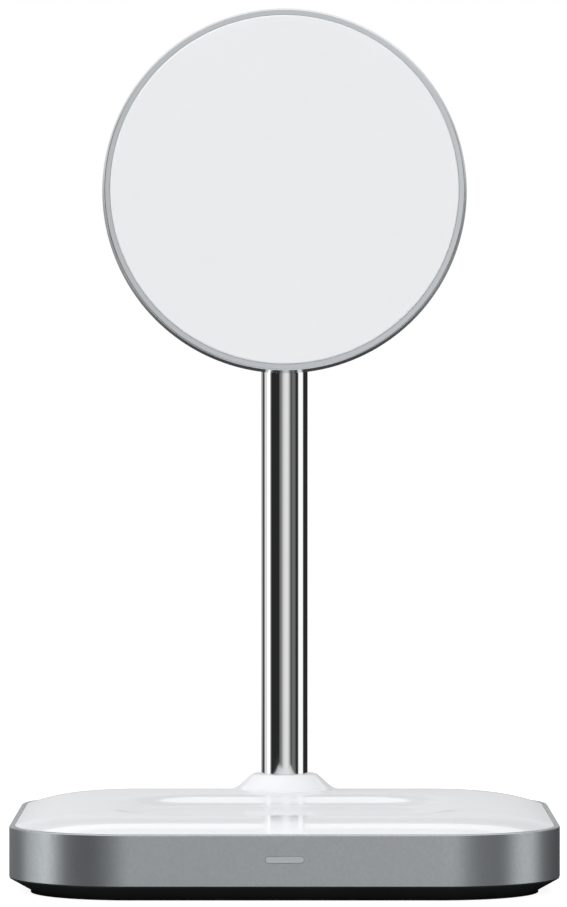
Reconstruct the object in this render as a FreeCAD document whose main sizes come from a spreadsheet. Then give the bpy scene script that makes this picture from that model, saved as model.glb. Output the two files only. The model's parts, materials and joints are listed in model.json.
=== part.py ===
import FreeCAD, Part
import math
import os
from types import SimpleNamespace

import Sketcher

# Two in one wireless charging stand: a square base with a dished deck for an earbud case, a
# round stem and a tilting round head that holds a phone by magnets. Sizes are millimetres and
# degrees. The stand faces -Y, +Z is up and the middle of its footprint on the table is the origin.
SIZES = {
    # base outline, from the table up: pad, sloped skirt, metal band, deck
    "base_width": 90,
    "base_depth": 84.5,
    "base_corner": 20,
    "pad_height": 0.45,
    "pad_inset": 3.5,
    "skirt_height": 2.1,
    "skirt_edge": 0.22,
    "skirt_inset_top": 0.1,
    "skirt_inset_low": 3.45,
    "floor_thick": 1.2,
    "lip_thick": 1.2,
    "lip_height": 2.0,
    "band_height": 8.3,
    "band_wall": 2.0,
    "band_chamfer": 0.25,
    "rim_width": 0.9,
    "rabbet_depth": 1.2,
    "snug": 0.05,
    # white deck with its dish and the collar round the stem
    "deck_rise": 2.0,
    "deck_slope": 18,
    "deck_round_share": 0.9,
    "dish_width": 55,
    "dish_length": 43,
    "dish_corner": 13.5,
    "dish_centre": -4.2,
    "dish_sink": 1.5,
    "dish_slope": 15,
    "dish_top_share": 0.45,
    "dish_low_share": 0.45,
    "collar_top_radius": 5.56,
    "collar_foot_radius": 8.6,
    "collar_height": 2.75,
    "collar_fillet": 1.8,
    "collar_edge": 0.3,
    "boss_radius": 2.5,
    "boss_margin": 12,
    "pilot_radius": 0.9,
    # light window in the front of the band
    "window_width": 6.3,
    "window_height": 1.17,
    "window_rise": 4.3,
    "window_sink": 0.1,
    "window_flange": 1.0,
    "led_width": 2.0,
    "led_depth": 1.0,
    "led_height": 1.3,
    "led_gap": 0.2,
    # supply socket at the back
    "socket_width": 8.94,
    "socket_height": 3.16,
    "socket_length": 6.8,
    "socket_wall": 0.3,
    "socket_back": 1.2,
    "socket_rise": 4.2,
    "socket_sink": 0.4,
    "port_gap": 0.18,
    "tongue_width": 6.7,
    "tongue_thick": 0.7,
    "tongue_length": 4.4,
    # board, weight and charging coil in the base
    "board_thick": 1.0,
    "board_side_gap": 15,
    "board_front_gap": 7.6,
    "board_back_gap": 21.4,
    "board_tab_width": 26,
    "board_tab_gap": 2.5,
    "post_radius": 2.2,
    "post_inset": 4.0,
    "board_screw_radius": 0.9,
    "board_screw_length": 1.5,
    "weight_thick": 1.5,
    "weight_margin": 4,
    "weight_back_gap": 8,
    "case_coil_outer": 20,
    "case_coil_inner": 9,
    "coil_thick": 0.9,
    "ferrite_thick": 0.8,
    "ferrite_margin": 1.0,
    "inductor_side": 6.0,
    "inductor_height": 2.4,
    "chip_side": 7.0,
    "chip_height": 0.9,
    # case screws up into the deck's bosses
    "case_head_radius": 2.0,
    "case_head_height": 0.8,
    "case_screw_length": 5.0,
    # stem, its flange under the deck and the cable inside
    "stem_radius": 4.0,
    "stem_wall": 0.8,
    "stem_back_gap": 13,
    "flange_thick": 2.0,
    "flange_width": 30,
    "flange_depth": 11.0,
    "flange_corner": 4.0,
    "flange_screw_spread": 10,
    "flange_screw_radius": 1.25,
    "flange_screw_bite": 1.9,
    "flange_head_radius": 2.3,
    "flange_head_height": 1.3,
    "cable_radius": 0.9,
    "cable_bend": 4.0,
    "cable_turn": 2.0,
    "plug_width": 6.0,
    "plug_depth": 4.0,
    "plug_height": 2.4,
    "plug_gap": 1.5,
    # hinge: an eye on the stem between two ears of the head
    "pivot_height": 115.7,
    "eye_radius": 4.6,
    "eye_width": 6.0,
    "eye_neck_gap": 0.5,
    "eye_neck_depth": 6.8,
    "eye_shoulder": 0.9,
    "eye_plug_length": 10,
    "eye_bore": 1.3,
    "pin_radius": 2.0,
    "pin_bore": 1.1,
    "pin_fit": 0.03,
    "washer_thick": 0.4,
    "washer_radius": 4.2,
    "side_gap": 0.1,
    "ear_thick": 2.5,
    "cap_thick": 3.6,
    # round head, measured from the pivot towards the phone
    "head_back": 5.5,
    "head_depth": 11.0,
    "head_radius": 30.6,
    "head_flare": 0.7,
    "head_back_fillet": 2.5,
    "head_front_fillet": 0.25,
    "head_wall": 2.0,
    "head_inner_radius": 28.6,
    "face_radius": 29.55,
    "face_seat": 1.2,
    "face_proud": 0.3,
    "face_edge": 0.3,
    "tray_thick": 3.1,
    "tray_gap": 0.2,
    "magnet_outer": 27.0,
    "magnet_inner": 23.4,
    "magnet_thick": 2.0,
    "magnet_slit": 0.5,
    "magnet_count": 18,
    "yoke_thick": 0.5,
    "phone_coil_outer": 21.3,
    "phone_coil_inner": 9.5,
    "head_board_radius": 20,
    "head_board_thick": 0.8,
    "head_post_radius": 2.0,
    "head_post_circle": 17,
    "tray_post_circle": 25.5,
    "bracket_radius": 13,
    "bracket_thick": 1.5,
    "bracket_screw_x": 8.0,
    "bracket_screw_y": 7.2,
    "bracket_screw_radius": 1.0,
    "bracket_screw_bite": 1.5,
    "bracket_head_radius": 1.8,
    "bracket_head_height": 1.0,
}

Vector = FreeCAD.Vector
doc = FreeCAD.newDocument("charging_stand")
sheet = doc.addObject("Spreadsheet::Sheet", "dims")


class Size:
    """A number from the sheet, or worked out from such numbers, with the expression behind it."""

    def __init__(self, value, text):
        self.value = value
        self.text = text

    def __add__(self, other):
        other = as_size(other)
        return Size(self.value + other.value, f"({self.text} + {other.text})")

    def __sub__(self, other):
        other = as_size(other)
        return Size(self.value - other.value, f"({self.text} - {other.text})")

    def __mul__(self, other):
        other = as_size(other)
        return Size(self.value * other.value, f"({self.text} * {other.text})")

    def __truediv__(self, other):
        other = as_size(other)
        return Size(self.value / other.value, f"({self.text} / {other.text})")

    def __radd__(self, other):
        return as_size(other) + self

    def __rsub__(self, other):
        return as_size(other) - self

    def __rmul__(self, other):
        return as_size(other) * self

    def __neg__(self):
        return Size(-self.value, f"(0 - {self.text})")


def as_size(number):
    """Give a plain number the form of a size."""
    if isinstance(number, Size):
        return number
    return Size(float(number), f"({number!r})")


def cosine(angle):
    """Cosine of a size in degrees."""
    return Size(math.cos(math.radians(angle.value)), f"cos({angle.text})")


def sine(angle):
    """Sine of a size in degrees."""
    return Size(math.sin(math.radians(angle.value)), f"sin({angle.text})")


def tangent(angle):
    """Tangent of a size in degrees."""
    return Size(math.tan(math.radians(angle.value)), f"tan({angle.text})")


def slant(rise, run):
    """Angle in degrees of a slope with this rise over this run."""
    angle = math.degrees(math.atan2(rise.value, run.value))
    return Size(angle, f"atan({rise.text} / {run.text}) / 1 deg")


def fill_sheet():
    """Write the driving sizes to the sheet and return them by name."""
    for row, (name, number) in enumerate(SIZES.items(), 1):
        sheet.set(f"A{row}", name)
        sheet.set(f"B{row}", str(number))
        sheet.setAlias(f"B{row}", name)
    doc.recompute()
    return SimpleNamespace(**{name: Size(float(getattr(sheet, name)), f"dims.{name}") for name in SIZES})


def bind(item, prop, size):
    """Tie a property of an item to a size."""
    item.setExpression(prop, as_size(size).text)


class Drawing:
    """A sketch on an origin plane of a body, with every point and radius tied to the sheet."""

    def __init__(self, body, name, plane="XY_Plane", x=0, y=0, z=0):
        self.sketch = body.newObject("Sketcher::SketchObject", name)
        support = [item for item in body.Origin.OriginFeatures if item.Role == plane][0]
        self.sketch.AttachmentSupport = [(support, "")]
        self.sketch.MapMode = "FlatFace"
        shift = [as_size(number) for number in (x, y, z)]
        self.sketch.AttachmentOffset = FreeCAD.Placement(
            Vector(*[size.value for size in shift]), FreeCAD.Rotation())
        for axis, size in zip("xyz", shift):
            bind(self.sketch, f"AttachmentOffset.Base.{axis}", size)
        self.named = 0

    def tie(self, kind, *parts, size):
        """Add a dimension and tie it to a size."""
        index = self.sketch.addConstraint(Sketcher.Constraint(kind, *parts, size.value))
        name = f"{kind.lower()}_{self.named}"
        self.named += 1
        self.sketch.renameConstraint(index, name)
        bind(self.sketch, f"Constraints.{name}", size)

    def pin(self, geo, end, x, y):
        """Hold a point at x, y."""
        for kind, axis, size in (("DistanceX", -2, as_size(x)), ("DistanceY", -1, as_size(y))):
            if abs(size.value) < 1e-9:
                self.sketch.addConstraint(Sketcher.Constraint("PointOnObject", geo, end, axis))
            else:
                self.tie(kind, -1, 1, geo, end, size=size)

    def circle(self, radius, x=0, y=0):
        """Draw a circle."""
        centre = Vector(as_size(x).value, as_size(y).value, 0)
        geo = self.sketch.addGeometry(Part.Circle(centre, Vector(0, 0, 1), radius.value), False)
        self.pin(geo, 3, x, y)
        self.tie("Radius", geo, size=radius)
        return self

    def circles(self, radius, places):
        """Draw equal circles at several places."""
        for x, y in places:
            self.circle(radius, x, y)
        return self

    def outline(self, points, half_round=None):
        """Draw a closed line through points; the edge numbered half_round bows out about the first axis."""
        spots = [Vector(as_size(x).value, as_size(y).value, 0) for x, y in points]
        count = len(points)
        edges = []
        for number in range(count):
            start = spots[number]
            stop = spots[(number + 1) % count]
            if number == half_round:
                reach = (stop - start) * 0.5
                middle = start + reach + Vector(reach.y, -reach.x, 0)
                edges.append(self.sketch.addGeometry(Part.Arc(start, middle, stop), False))
            else:
                edges.append(self.sketch.addGeometry(Part.LineSegment(start, stop), False))
        ends = []
        for number, edge in enumerate(edges):
            curve = self.sketch.Geometry[edge]
            ends.append((1, 2) if curve.StartPoint.distanceToPoint(spots[number]) < 1e-6 else (2, 1))
        for number, edge in enumerate(edges):
            after = (number + 1) % count
            self.sketch.addConstraint(
                Sketcher.Constraint("Coincident", edge, ends[number][1], edges[after], ends[after][0]))
        for number, edge in enumerate(edges):
            self.pin(edge, ends[number][0], *points[number])
        if half_round is not None:
            self.sketch.addConstraint(Sketcher.Constraint("PointOnObject", edges[half_round], 3, -1))
        return self

    def rounded(self, width, length, corner, x=0, y=0):
        """Draw a rectangle with round corners about x, y."""
        half_x = width / 2 - corner
        half_y = length / 2 - corner
        arcs = []
        turn = math.pi / 2
        signs = ((1, 1), (-1, 1), (-1, -1), (1, -1))
        for number, (sign_x, sign_y) in enumerate(signs):
            centre_x = x + sign_x * half_x
            centre_y = y + sign_y * half_y
            disc = Part.Circle(Vector(centre_x.value, centre_y.value, 0), Vector(0, 0, 1), corner.value)
            arc = Part.ArcOfCircle(disc, number * turn, (number + 1) * turn)
            arcs.append(self.sketch.addGeometry(arc, False))
        lines = []
        for number, arc in enumerate(arcs):
            start = self.sketch.Geometry[arc].EndPoint
            stop = self.sketch.Geometry[arcs[(number + 1) % 4]].StartPoint
            lines.append(self.sketch.addGeometry(Part.LineSegment(start, stop), False))
        for number, (arc, line) in enumerate(zip(arcs, lines)):
            after = arcs[(number + 1) % 4]
            self.sketch.addConstraint(Sketcher.Constraint("Tangent", arc, 2, line, 1))
            self.sketch.addConstraint(Sketcher.Constraint("Tangent", line, 2, after, 1))
        for number, (sign_x, sign_y) in enumerate(signs):
            self.pin(arcs[number], 3, x + sign_x * half_x, y + sign_y * half_y)
        self.tie("Radius", arcs[0], size=corner)
        return self

    def pill(self, width, height, x=0, y=0):
        """Draw a bar with half round ends, lying along the first axis."""
        end = height / 2
        reach = width / 2 - end
        arcs = []
        for sign in (1, -1):
            centre = Vector((x + sign * reach).value, as_size(y).value, 0)
            disc = Part.Circle(centre, Vector(0, 0, 1), end.value)
            first = -math.pi / 2 if sign > 0 else math.pi / 2
            arcs.append(self.sketch.addGeometry(Part.ArcOfCircle(disc, first, first + math.pi), False))
        for arc, other in ((arcs[0], arcs[1]), (arcs[1], arcs[0])):
            start = self.sketch.Geometry[arc].EndPoint
            stop = self.sketch.Geometry[other].StartPoint
            line = self.sketch.addGeometry(Part.LineSegment(start, stop), False)
            self.sketch.addConstraint(Sketcher.Constraint("Tangent", arc, 2, line, 1))
            self.sketch.addConstraint(Sketcher.Constraint("Tangent", line, 2, other, 1))
        for arc, sign in zip(arcs, (1, -1)):
            self.pin(arc, 3, x + sign * reach, y)
        self.tie("Radius", arcs[0], size=end)
        return self

    def box(self, width, length, x=0, y=0):
        """Draw a rectangle about x, y."""
        left = x - width / 2
        right = x + width / 2
        low = y - length / 2
        high = y + length / 2
        return self.outline([(left, low), (right, low), (right, high), (left, high)])


class Piece:
    """One separate piece of the stand: a body made step by step."""

    def __init__(self, name, on_head=False):
        self.name = name
        self.body = doc.addObject("PartDesign::Body", name)
        self.body.Label = name
        self.steps = 0
        if on_head:
            self.body.Placement = FreeCAD.Placement(Vector(), FreeCAD.Rotation(Vector(1, 0, 0), 90))
            bind(self.body, "Placement.Base.y", stem_y)
            bind(self.body, "Placement.Base.z", d.pivot_height)

    def draw(self, plane="XY_Plane", x=0, y=0, z=0):
        """Start a sketch on one of the body's planes."""
        self.steps += 1
        return Drawing(self.body, f"{self.name}_sketch_{self.steps}", plane, x, y, z)

    def feature(self, kind, profile):
        """Add a feature that works from a sketch."""
        self.steps += 1
        item = self.body.newObject(f"PartDesign::{kind}", f"{self.name}_{kind.lower()}_{self.steps}")
        item.Profile = profile.sketch
        return item

    def pad(self, profile, length, down=False, taper=None):
        """Raise material from a sketch."""
        item = self.feature("Pad", profile)
        item.Length = as_size(length).value
        bind(item, "Length", length)
        item.Reversed = down
        if taper is not None:
            item.TaperAngle = taper.value
            bind(item, "TaperAngle", taper)
        self.body.Tip = item
        return item

    def cut(self, profile, length, up=False, taper=None):
        """Take material away below a sketch, or above it."""
        item = self.feature("Pocket", profile)
        item.Length = as_size(length).value
        bind(item, "Length", length)
        item.Reversed = up
        if taper is not None:
            item.TaperAngle = taper.value
            bind(item, "TaperAngle", taper)
        self.body.Tip = item
        return item

    def turn(self, profile, cutting=False):
        """Turn a sketch about its upright axis."""
        item = self.feature("Groove" if cutting else "Revolution", profile)
        item.ReferenceAxis = (profile.sketch, ["V_Axis"])
        item.Angle = 360
        self.body.Tip = item
        return item

    def ring_of(self, step, profile, count):
        """Repeat a step round the upright axis of its sketch's plane."""
        self.steps += 1
        item = self.body.newObject("PartDesign::PolarPattern", f"{self.name}_ring_{self.steps}")
        item.Originals = [step]
        item.Axis = (profile.sketch, ["N_Axis"])
        item.Angle = 360
        item.Occurrences = int(as_size(count).value)
        bind(item, "Occurrences", count)
        self.body.Tip = item
        return item

    def round_edges(self, radius, wanted, kind="Fillet"):
        """Round, or chamfer, the edges for which wanted is true."""
        doc.recompute()
        base = self.body.Tip
        names = [f"Edge{number}" for number, edge in enumerate(base.Shape.Edges, 1) if wanted(edge)]
        if not names:
            raise RuntimeError(f"{self.name}: no edge to round")
        self.steps += 1
        item = self.body.newObject(f"PartDesign::{kind}", f"{self.name}_{kind.lower()}_{self.steps}")
        item.Base = (base, names)
        prop = "Radius" if kind == "Fillet" else "Size"
        setattr(item, prop, as_size(radius).value)
        bind(item, prop, radius)
        self.body.Tip = item
        return item


def middle_of(edge):
    """Give the point halfway along an edge."""
    return edge.valueAt((edge.FirstParameter + edge.LastParameter) / 2)


def level_edge(height, reach=None):
    """Give a test for edges that lie level at a height and pass a second test of their box, if given."""
    def test(edge):
        box = edge.BoundBox
        flat = abs(box.ZMin - height) < 1e-4 and abs(box.ZMax - height) < 1e-4
        return flat and (reach is None or reach(box))
    return test


d = fill_sheet()

# heights of the base, from the table
skirt_low = d.pad_height
band_low = skirt_low + d.skirt_height
rim_top = band_low + d.band_height
floor_top = skirt_low + d.floor_thick
deck_under = rim_top - d.rabbet_depth
deck_top = rim_top + d.deck_rise
dish_floor = deck_top - d.dish_sink
collar_top = deck_top + d.collar_height
collar_flare = (d.collar_foot_radius - d.collar_top_radius) / d.collar_height
window_z = band_low + d.window_rise
socket_z = band_low + d.socket_rise
board_top = socket_z - d.socket_height / 2
board_under = board_top - d.board_thick

# places in the plan
front = -d.base_depth / 2
back = d.base_depth / 2
stem_y = back - d.stem_back_gap
boss_x = d.base_width / 2 - d.boss_margin
boss_y = d.base_depth / 2 - d.boss_margin
board_front = front + d.board_front_gap
board_back = back - d.board_back_gap
board_half = d.base_width / 2 - d.board_side_gap
socket_mouth = back - d.socket_sink
boss_places = [(sign_x * boss_x, sign_y * boss_y) for sign_x in (-1, 1) for sign_y in (-1, 1)]
post_x = board_half - d.post_inset
post_low = board_front + d.post_inset
post_high = board_back - d.post_inset
post_places = [(sign * post_x, place) for sign in (-1, 1) for place in (post_low, post_high)]

# places along the hinge, and along the head from the pivot towards the phone
ear_in = d.eye_width / 2 + d.washer_thick + d.side_gap
ear_out = ear_in + d.ear_thick
cap_out = ear_out + d.cap_thick
head_front = d.head_back + d.head_depth
head_floor = d.head_back + d.head_wall
face_back = head_front - d.face_seat
tray_back = face_back - d.tray_thick
head_board_front = tray_back - d.tray_gap
head_board_back = head_board_front - d.head_board_thick
lead_x = ear_out + d.cable_turn
bracket_front = head_floor + d.bracket_thick
stem_top = d.pivot_height - d.eye_radius - d.eye_neck_gap - d.eye_shoulder
bracket_places = [(sign_x * d.bracket_screw_x, sign_y * d.bracket_screw_y)
                  for sign_x in (-1, 1) for sign_y in (-1, 1)]
flange_places = [(sign * d.flange_screw_spread, stem_y) for sign in (-1, 1)]


def base_outline(drawing, inset):
    """Draw the base's outline, set in by a distance."""
    return drawing.rounded(d.base_width - 2 * inset, d.base_depth - 2 * inset, d.base_corner - inset)


def make_band():
    """Metal band: a ring with a step inside its top for the deck, a light window and a port."""
    piece = Piece("base_band")
    ring = piece.draw(z=band_low)
    base_outline(ring, as_size(0))
    base_outline(ring, d.band_wall)
    piece.pad(ring, d.band_height)
    step = base_outline(piece.draw(z=rim_top), d.rim_width)
    piece.cut(step, d.rabbet_depth)
    window = piece.draw("XZ_Plane", z=-front)
    window.pill(d.window_width, d.window_height, y=window_z)
    piece.cut(window, d.band_wall * 1.5)
    port = piece.draw("XZ_Plane", z=-back)
    port.pill(d.socket_width + 2 * d.port_gap, d.socket_height + 2 * d.port_gap, y=socket_z)
    piece.cut(port, d.band_wall * 1.5, up=True)
    piece.round_edges(d.band_chamfer, is_band_rim, "Chamfer")
    return piece


def is_band_rim(edge):
    """Tell whether an edge lies along the top of the band's outer face."""
    box = edge.BoundBox
    at_top = abs(box.ZMin - rim_top.value) < 1e-4 and abs(box.ZMax - rim_top.value) < 1e-4
    spot = middle_of(edge)
    corner = d.base_corner.value
    away_x = max(abs(spot.x) - (d.base_width.value / 2 - corner), 0)
    away_y = max(abs(spot.y) - (d.base_depth.value / 2 - corner), 0)
    return at_top and abs(math.hypot(away_x, away_y) - corner) < 1e-3


def make_deck():
    """White deck: a soft edged plate with a dish for the earbud case and a collar for the stem."""
    piece = Piece("top_deck")
    edge_inset = d.rim_width + d.snug
    piece.pad(base_outline(piece.draw(z=deck_under), edge_inset), d.rabbet_depth)
    piece.pad(base_outline(piece.draw(z=rim_top), edge_inset), d.deck_rise, taper=d.deck_slope - 90)
    soft = d.deck_round_share * d.deck_rise / (1 - cosine(d.deck_slope))
    piece.round_edges(soft, level_edge(deck_top.value))

    dish = piece.draw(z=deck_top)
    dish.rounded(d.dish_width, d.dish_length, d.dish_corner, y=d.dish_centre)
    piece.cut(dish, d.dish_sink, taper=d.dish_slope - 90)
    wall = d.dish_sink / sine(d.dish_slope) / tangent(d.dish_slope / 2)
    piece.round_edges(wall * d.dish_low_share, level_edge(dish_floor.value))
    piece.round_edges(wall * d.dish_top_share, level_edge(deck_top.value, is_dish_box))

    low = rim_top + 2 * d.snug
    foot = d.collar_top_radius + (collar_top - low) * collar_flare
    cone = piece.draw("XZ_Plane", z=-stem_y)
    cone.outline([(0, low), (foot, low), (d.collar_top_radius, collar_top), (0, collar_top)])
    piece.turn(cone)
    piece.round_edges(d.collar_fillet, is_collar_foot)
    piece.round_edges(d.collar_edge, level_edge(collar_top.value))

    piece.cut(piece.draw(z=collar_top).circle(d.stem_radius + d.snug, y=stem_y), collar_top - deck_under)
    piece.pad(piece.draw(z=deck_under).circles(d.boss_radius, boss_places), deck_under - floor_top, down=True)
    pilot = piece.draw(z=floor_top).circles(d.pilot_radius + d.snug, boss_places)
    piece.cut(pilot, d.case_screw_length, up=True)
    screws = piece.draw(z=deck_under).circles(d.flange_screw_radius + d.snug, flange_places)
    piece.cut(screws, d.flange_screw_bite + d.snug, up=True)
    return piece


def is_dish_box(box):
    """Tell whether an edge's box lies within the dish's plan."""
    within_x = max(abs(box.XMin), abs(box.XMax)) < d.dish_width.value / 2 + 0.5
    within_y = abs((box.YMin + box.YMax) / 2 - d.dish_centre.value) < d.dish_length.value / 2 + 0.5
    return within_x and within_y


def is_collar_foot(edge):
    """Tell whether an edge runs where the collar's cone meets the deck."""
    spot = middle_of(edge)
    reach = math.hypot(spot.x, spot.y - stem_y.value)
    cone = d.collar_top_radius.value + (collar_top.value - spot.z) * collar_flare.value
    on_deck = rim_top.value + 0.2 < spot.z < deck_top.value + 1e-4
    return on_deck and abs(reach - cone) < 1e-3 and edge.Length > 1


def make_bottom():
    """Black bottom plate: a sloped skirt with a lip inside the band and posts for the board."""
    piece = Piece("bottom_plate")
    piece.pad(base_outline(piece.draw(z=band_low), d.skirt_inset_top), d.skirt_edge, down=True)
    slope_height = d.skirt_height - d.skirt_edge
    lean = slant(d.skirt_inset_low - d.skirt_inset_top, slope_height)
    slope = base_outline(piece.draw(z=band_low - d.skirt_edge), d.skirt_inset_top)
    piece.pad(slope, slope_height, down=True, taper=-lean)
    inside = d.band_wall + d.snug + d.lip_thick
    lip = piece.draw(z=band_low)
    base_outline(lip, d.band_wall + d.snug)
    base_outline(lip, inside)
    piece.pad(lip, d.lip_height)
    piece.cut(base_outline(piece.draw(z=band_low), inside), band_low - floor_top)
    piece.pad(piece.draw(z=floor_top).circles(d.post_radius, post_places), board_under - floor_top)
    pilot = piece.draw(z=board_under).circles(d.board_screw_radius + d.snug, post_places)
    piece.cut(pilot, d.board_screw_length)
    heads = piece.draw(z=skirt_low).circles(d.case_head_radius + d.snug, boss_places)
    piece.cut(heads, d.case_head_height, up=True)
    shanks = piece.draw(z=skirt_low).circles(d.pilot_radius + d.snug, boss_places)
    piece.cut(shanks, d.floor_thick * 1.2, up=True)
    return piece


def make_foot_pad():
    """Rubber pad under the base."""
    piece = Piece("foot_pad")
    piece.pad(base_outline(piece.draw(), d.pad_inset), d.pad_height)
    return piece


def make_case_screws():
    """Four screws from under the base up into the deck's bosses."""
    piece = Piece("case_screws")
    piece.pad(piece.draw(z=skirt_low).circles(d.case_head_radius, boss_places), d.case_head_height)
    shank = piece.draw(z=skirt_low + d.case_head_height).circles(d.pilot_radius, boss_places)
    piece.pad(shank, d.case_screw_length - d.case_head_height)
    piece.cut(piece.draw(z=skirt_low).circles(d.pilot_radius, boss_places), d.case_head_height / 2, up=True)
    return piece


def make_weight():
    """Steel weight plate on the floor of the base, with holes for the board's posts."""
    piece = Piece("base_weight")
    low = post_low - d.weight_margin
    high = back - d.weight_back_gap
    plate = piece.draw(z=floor_top)
    plate.rounded(2 * (post_x + d.weight_margin), high - low, d.weight_margin, y=(low + high) / 2)
    plate.circles(d.post_radius + 4 * d.snug, post_places)
    piece.pad(plate, d.weight_thick)
    return piece


def make_board():
    """Circuit board on the posts, with a tab at the back for the socket."""
    piece = Piece("main_board")
    half = board_half
    tab = d.board_tab_width / 2
    tab_back = back - d.band_wall - d.board_tab_gap / 2
    plan = piece.draw(z=board_under)
    plan.outline([(-half, board_front), (half, board_front), (half, board_back), (tab, board_back),
                  (tab, tab_back), (-tab, tab_back), (-tab, board_back), (-half, board_back)])
    plan.circles(d.board_screw_radius + d.snug, post_places)
    piece.pad(plan, d.board_thick)
    return piece


def make_board_screws():
    """Four screws that hold the board on its posts."""
    piece = Piece("board_screws")
    piece.pad(piece.draw(z=board_top).circles(d.board_screw_radius * 1.9, post_places), d.board_thick)
    shank = piece.draw(z=board_top).circles(d.board_screw_radius, post_places)
    piece.pad(shank, d.board_thick + d.board_screw_length - d.snug, down=True)
    return piece


def make_board_parts():
    """Coils, chips and a capacitor row on the board."""
    piece = Piece("board_components")
    tall = piece.draw(z=board_top)
    side_x = board_half - d.inductor_side
    for sign in (-1, 1):
        tall.box(d.inductor_side, d.inductor_side, sign * side_x, d.dish_centre - d.inductor_side)
        tall.box(d.inductor_side, d.inductor_side, sign * side_x, d.dish_centre + d.inductor_side)
    piece.pad(tall, d.inductor_height)
    flat = piece.draw(z=board_top)
    flat.box(d.chip_side, d.chip_side, 0, d.dish_centre - d.chip_side)
    flat.box(d.chip_side, d.chip_side, 0, d.dish_centre + d.chip_side)
    for number in range(-2, 3):
        flat.box(d.chip_height * 2, d.chip_height, number * d.chip_side / 2, board_front + d.chip_side)
    piece.pad(flat, d.chip_height)
    return piece


def make_socket():
    """Shell of the supply socket, standing on the board's tab."""
    piece = Piece("usb_socket_shell")
    wide = d.socket_width
    tall = d.socket_height
    tube = piece.draw("XZ_Plane", z=-socket_mouth)
    tube.pill(wide, tall, y=socket_z)
    piece.pad(tube, d.socket_length)
    hollow = piece.draw("XZ_Plane", z=-socket_mouth)
    hollow.pill(wide - 2 * d.socket_wall, tall - 2 * d.socket_wall, y=socket_z)
    piece.cut(hollow, d.socket_length - d.socket_wall, up=True)
    return piece


def make_tongue():
    """Insulator inside the socket: a block at the back and a thin tongue."""
    piece = Piece("usb_socket_tongue")
    inner = socket_mouth - d.socket_length + d.socket_wall
    block = piece.draw("XZ_Plane", z=-(inner + d.socket_back))
    shell = 2 * (d.socket_wall + d.snug)
    block.pill(d.socket_width - shell, d.socket_height - shell, y=socket_z)
    piece.pad(block, d.socket_back)
    blade = piece.draw("XZ_Plane", z=-(inner + d.socket_back))
    blade.box(d.tongue_width, d.tongue_thick, 0, socket_z)
    piece.pad(blade, d.tongue_length, down=True)
    return piece


def make_window():
    """Light window: a pill through the band with a wider block behind it."""
    piece = Piece("led_window")
    inner = front + d.band_wall
    pill = piece.draw("XZ_Plane", z=-inner)
    pill.pill(d.window_width - 2 * d.snug, d.window_height - 2 * d.snug, y=window_z)
    piece.pad(pill, d.band_wall - d.window_sink)
    block = piece.draw("XZ_Plane", z=-board_front)
    wide = d.window_width + 2 * d.window_flange
    block.box(wide, d.window_height + 2 * d.window_flange, 0, window_z)
    piece.pad(block, board_front - inner)
    return piece


def make_led():
    """Status light on the front edge of the board."""
    piece = Piece("status_led")
    place = board_front + d.led_depth / 2 + d.led_gap
    piece.pad(piece.draw(z=board_top).box(d.led_width, d.led_depth, 0, place), d.led_height)
    return piece


def make_case_coil():
    """Flat coil under the dish."""
    piece = Piece("earbud_coil")
    ring = piece.draw(z=deck_under)
    ring.circle(d.case_coil_outer, y=d.dish_centre)
    ring.circle(d.case_coil_inner, y=d.dish_centre)
    piece.pad(ring, d.coil_thick, down=True)
    return piece


def make_case_ferrite():
    """Ferrite sheet under the earbud coil."""
    piece = Piece("earbud_ferrite")
    disc = piece.draw(z=deck_under - d.coil_thick)
    disc.circle(d.case_coil_outer + d.ferrite_margin, y=d.dish_centre)
    piece.pad(disc, d.ferrite_thick, down=True)
    return piece


def make_stem():
    """Round stem tube, from its flange up to the hinge."""
    piece = Piece("stem_tube")
    low = deck_under - d.flange_thick
    ring = piece.draw(z=low)
    ring.circle(d.stem_radius, y=stem_y)
    ring.circle(d.stem_radius - d.stem_wall, y=stem_y)
    piece.pad(ring, stem_top - low)
    return piece


def make_flange():
    """Steel flange round the foot of the stem, under the deck."""
    piece = Piece("stem_flange")
    plate = piece.draw(z=deck_under - d.flange_thick)
    plate.rounded(d.flange_width, d.flange_depth, d.flange_corner, y=stem_y)
    plate.circle(d.stem_radius + d.snug, y=stem_y)
    plate.circles(d.flange_screw_radius + d.snug, flange_places)
    piece.pad(plate, d.flange_thick)
    return piece


def make_flange_screws():
    """Two screws up through the flange into the deck."""
    piece = Piece("flange_screws")
    low = deck_under - d.flange_thick
    piece.pad(piece.draw(z=low).circles(d.flange_head_radius, flange_places), d.flange_head_height, down=True)
    shank = piece.draw(z=low).circles(d.flange_screw_radius, flange_places)
    piece.pad(shank, d.flange_thick + d.flange_screw_bite)
    return piece


def make_cable():
    """Cable from the board up the stem and out along the hinge pin."""
    radius = d.cable_radius
    lie = board_top + radius
    plug_face = stem_y - d.cable_bend - d.plug_gap
    spine = [
        ("line", (0, plug_face, lie), (0, stem_y - d.cable_bend, lie)),
        ("bend", (0, stem_y - d.cable_bend, lie), (0, stem_y, lie + d.cable_bend),
         (0, stem_y - d.cable_bend, lie + d.cable_bend)),
        ("line", (0, stem_y, lie + d.cable_bend), (0, stem_y, d.pivot_height - d.cable_turn)),
        ("bend", (0, stem_y, d.pivot_height - d.cable_turn), (d.cable_turn, stem_y, d.pivot_height),
         (d.cable_turn, stem_y, d.pivot_height - d.cable_turn)),
        ("line", (d.cable_turn, stem_y, d.pivot_height), (ear_out, stem_y, d.pivot_height)),
    ]
    return make_round_run("stem_cable", spine, radius)


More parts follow.
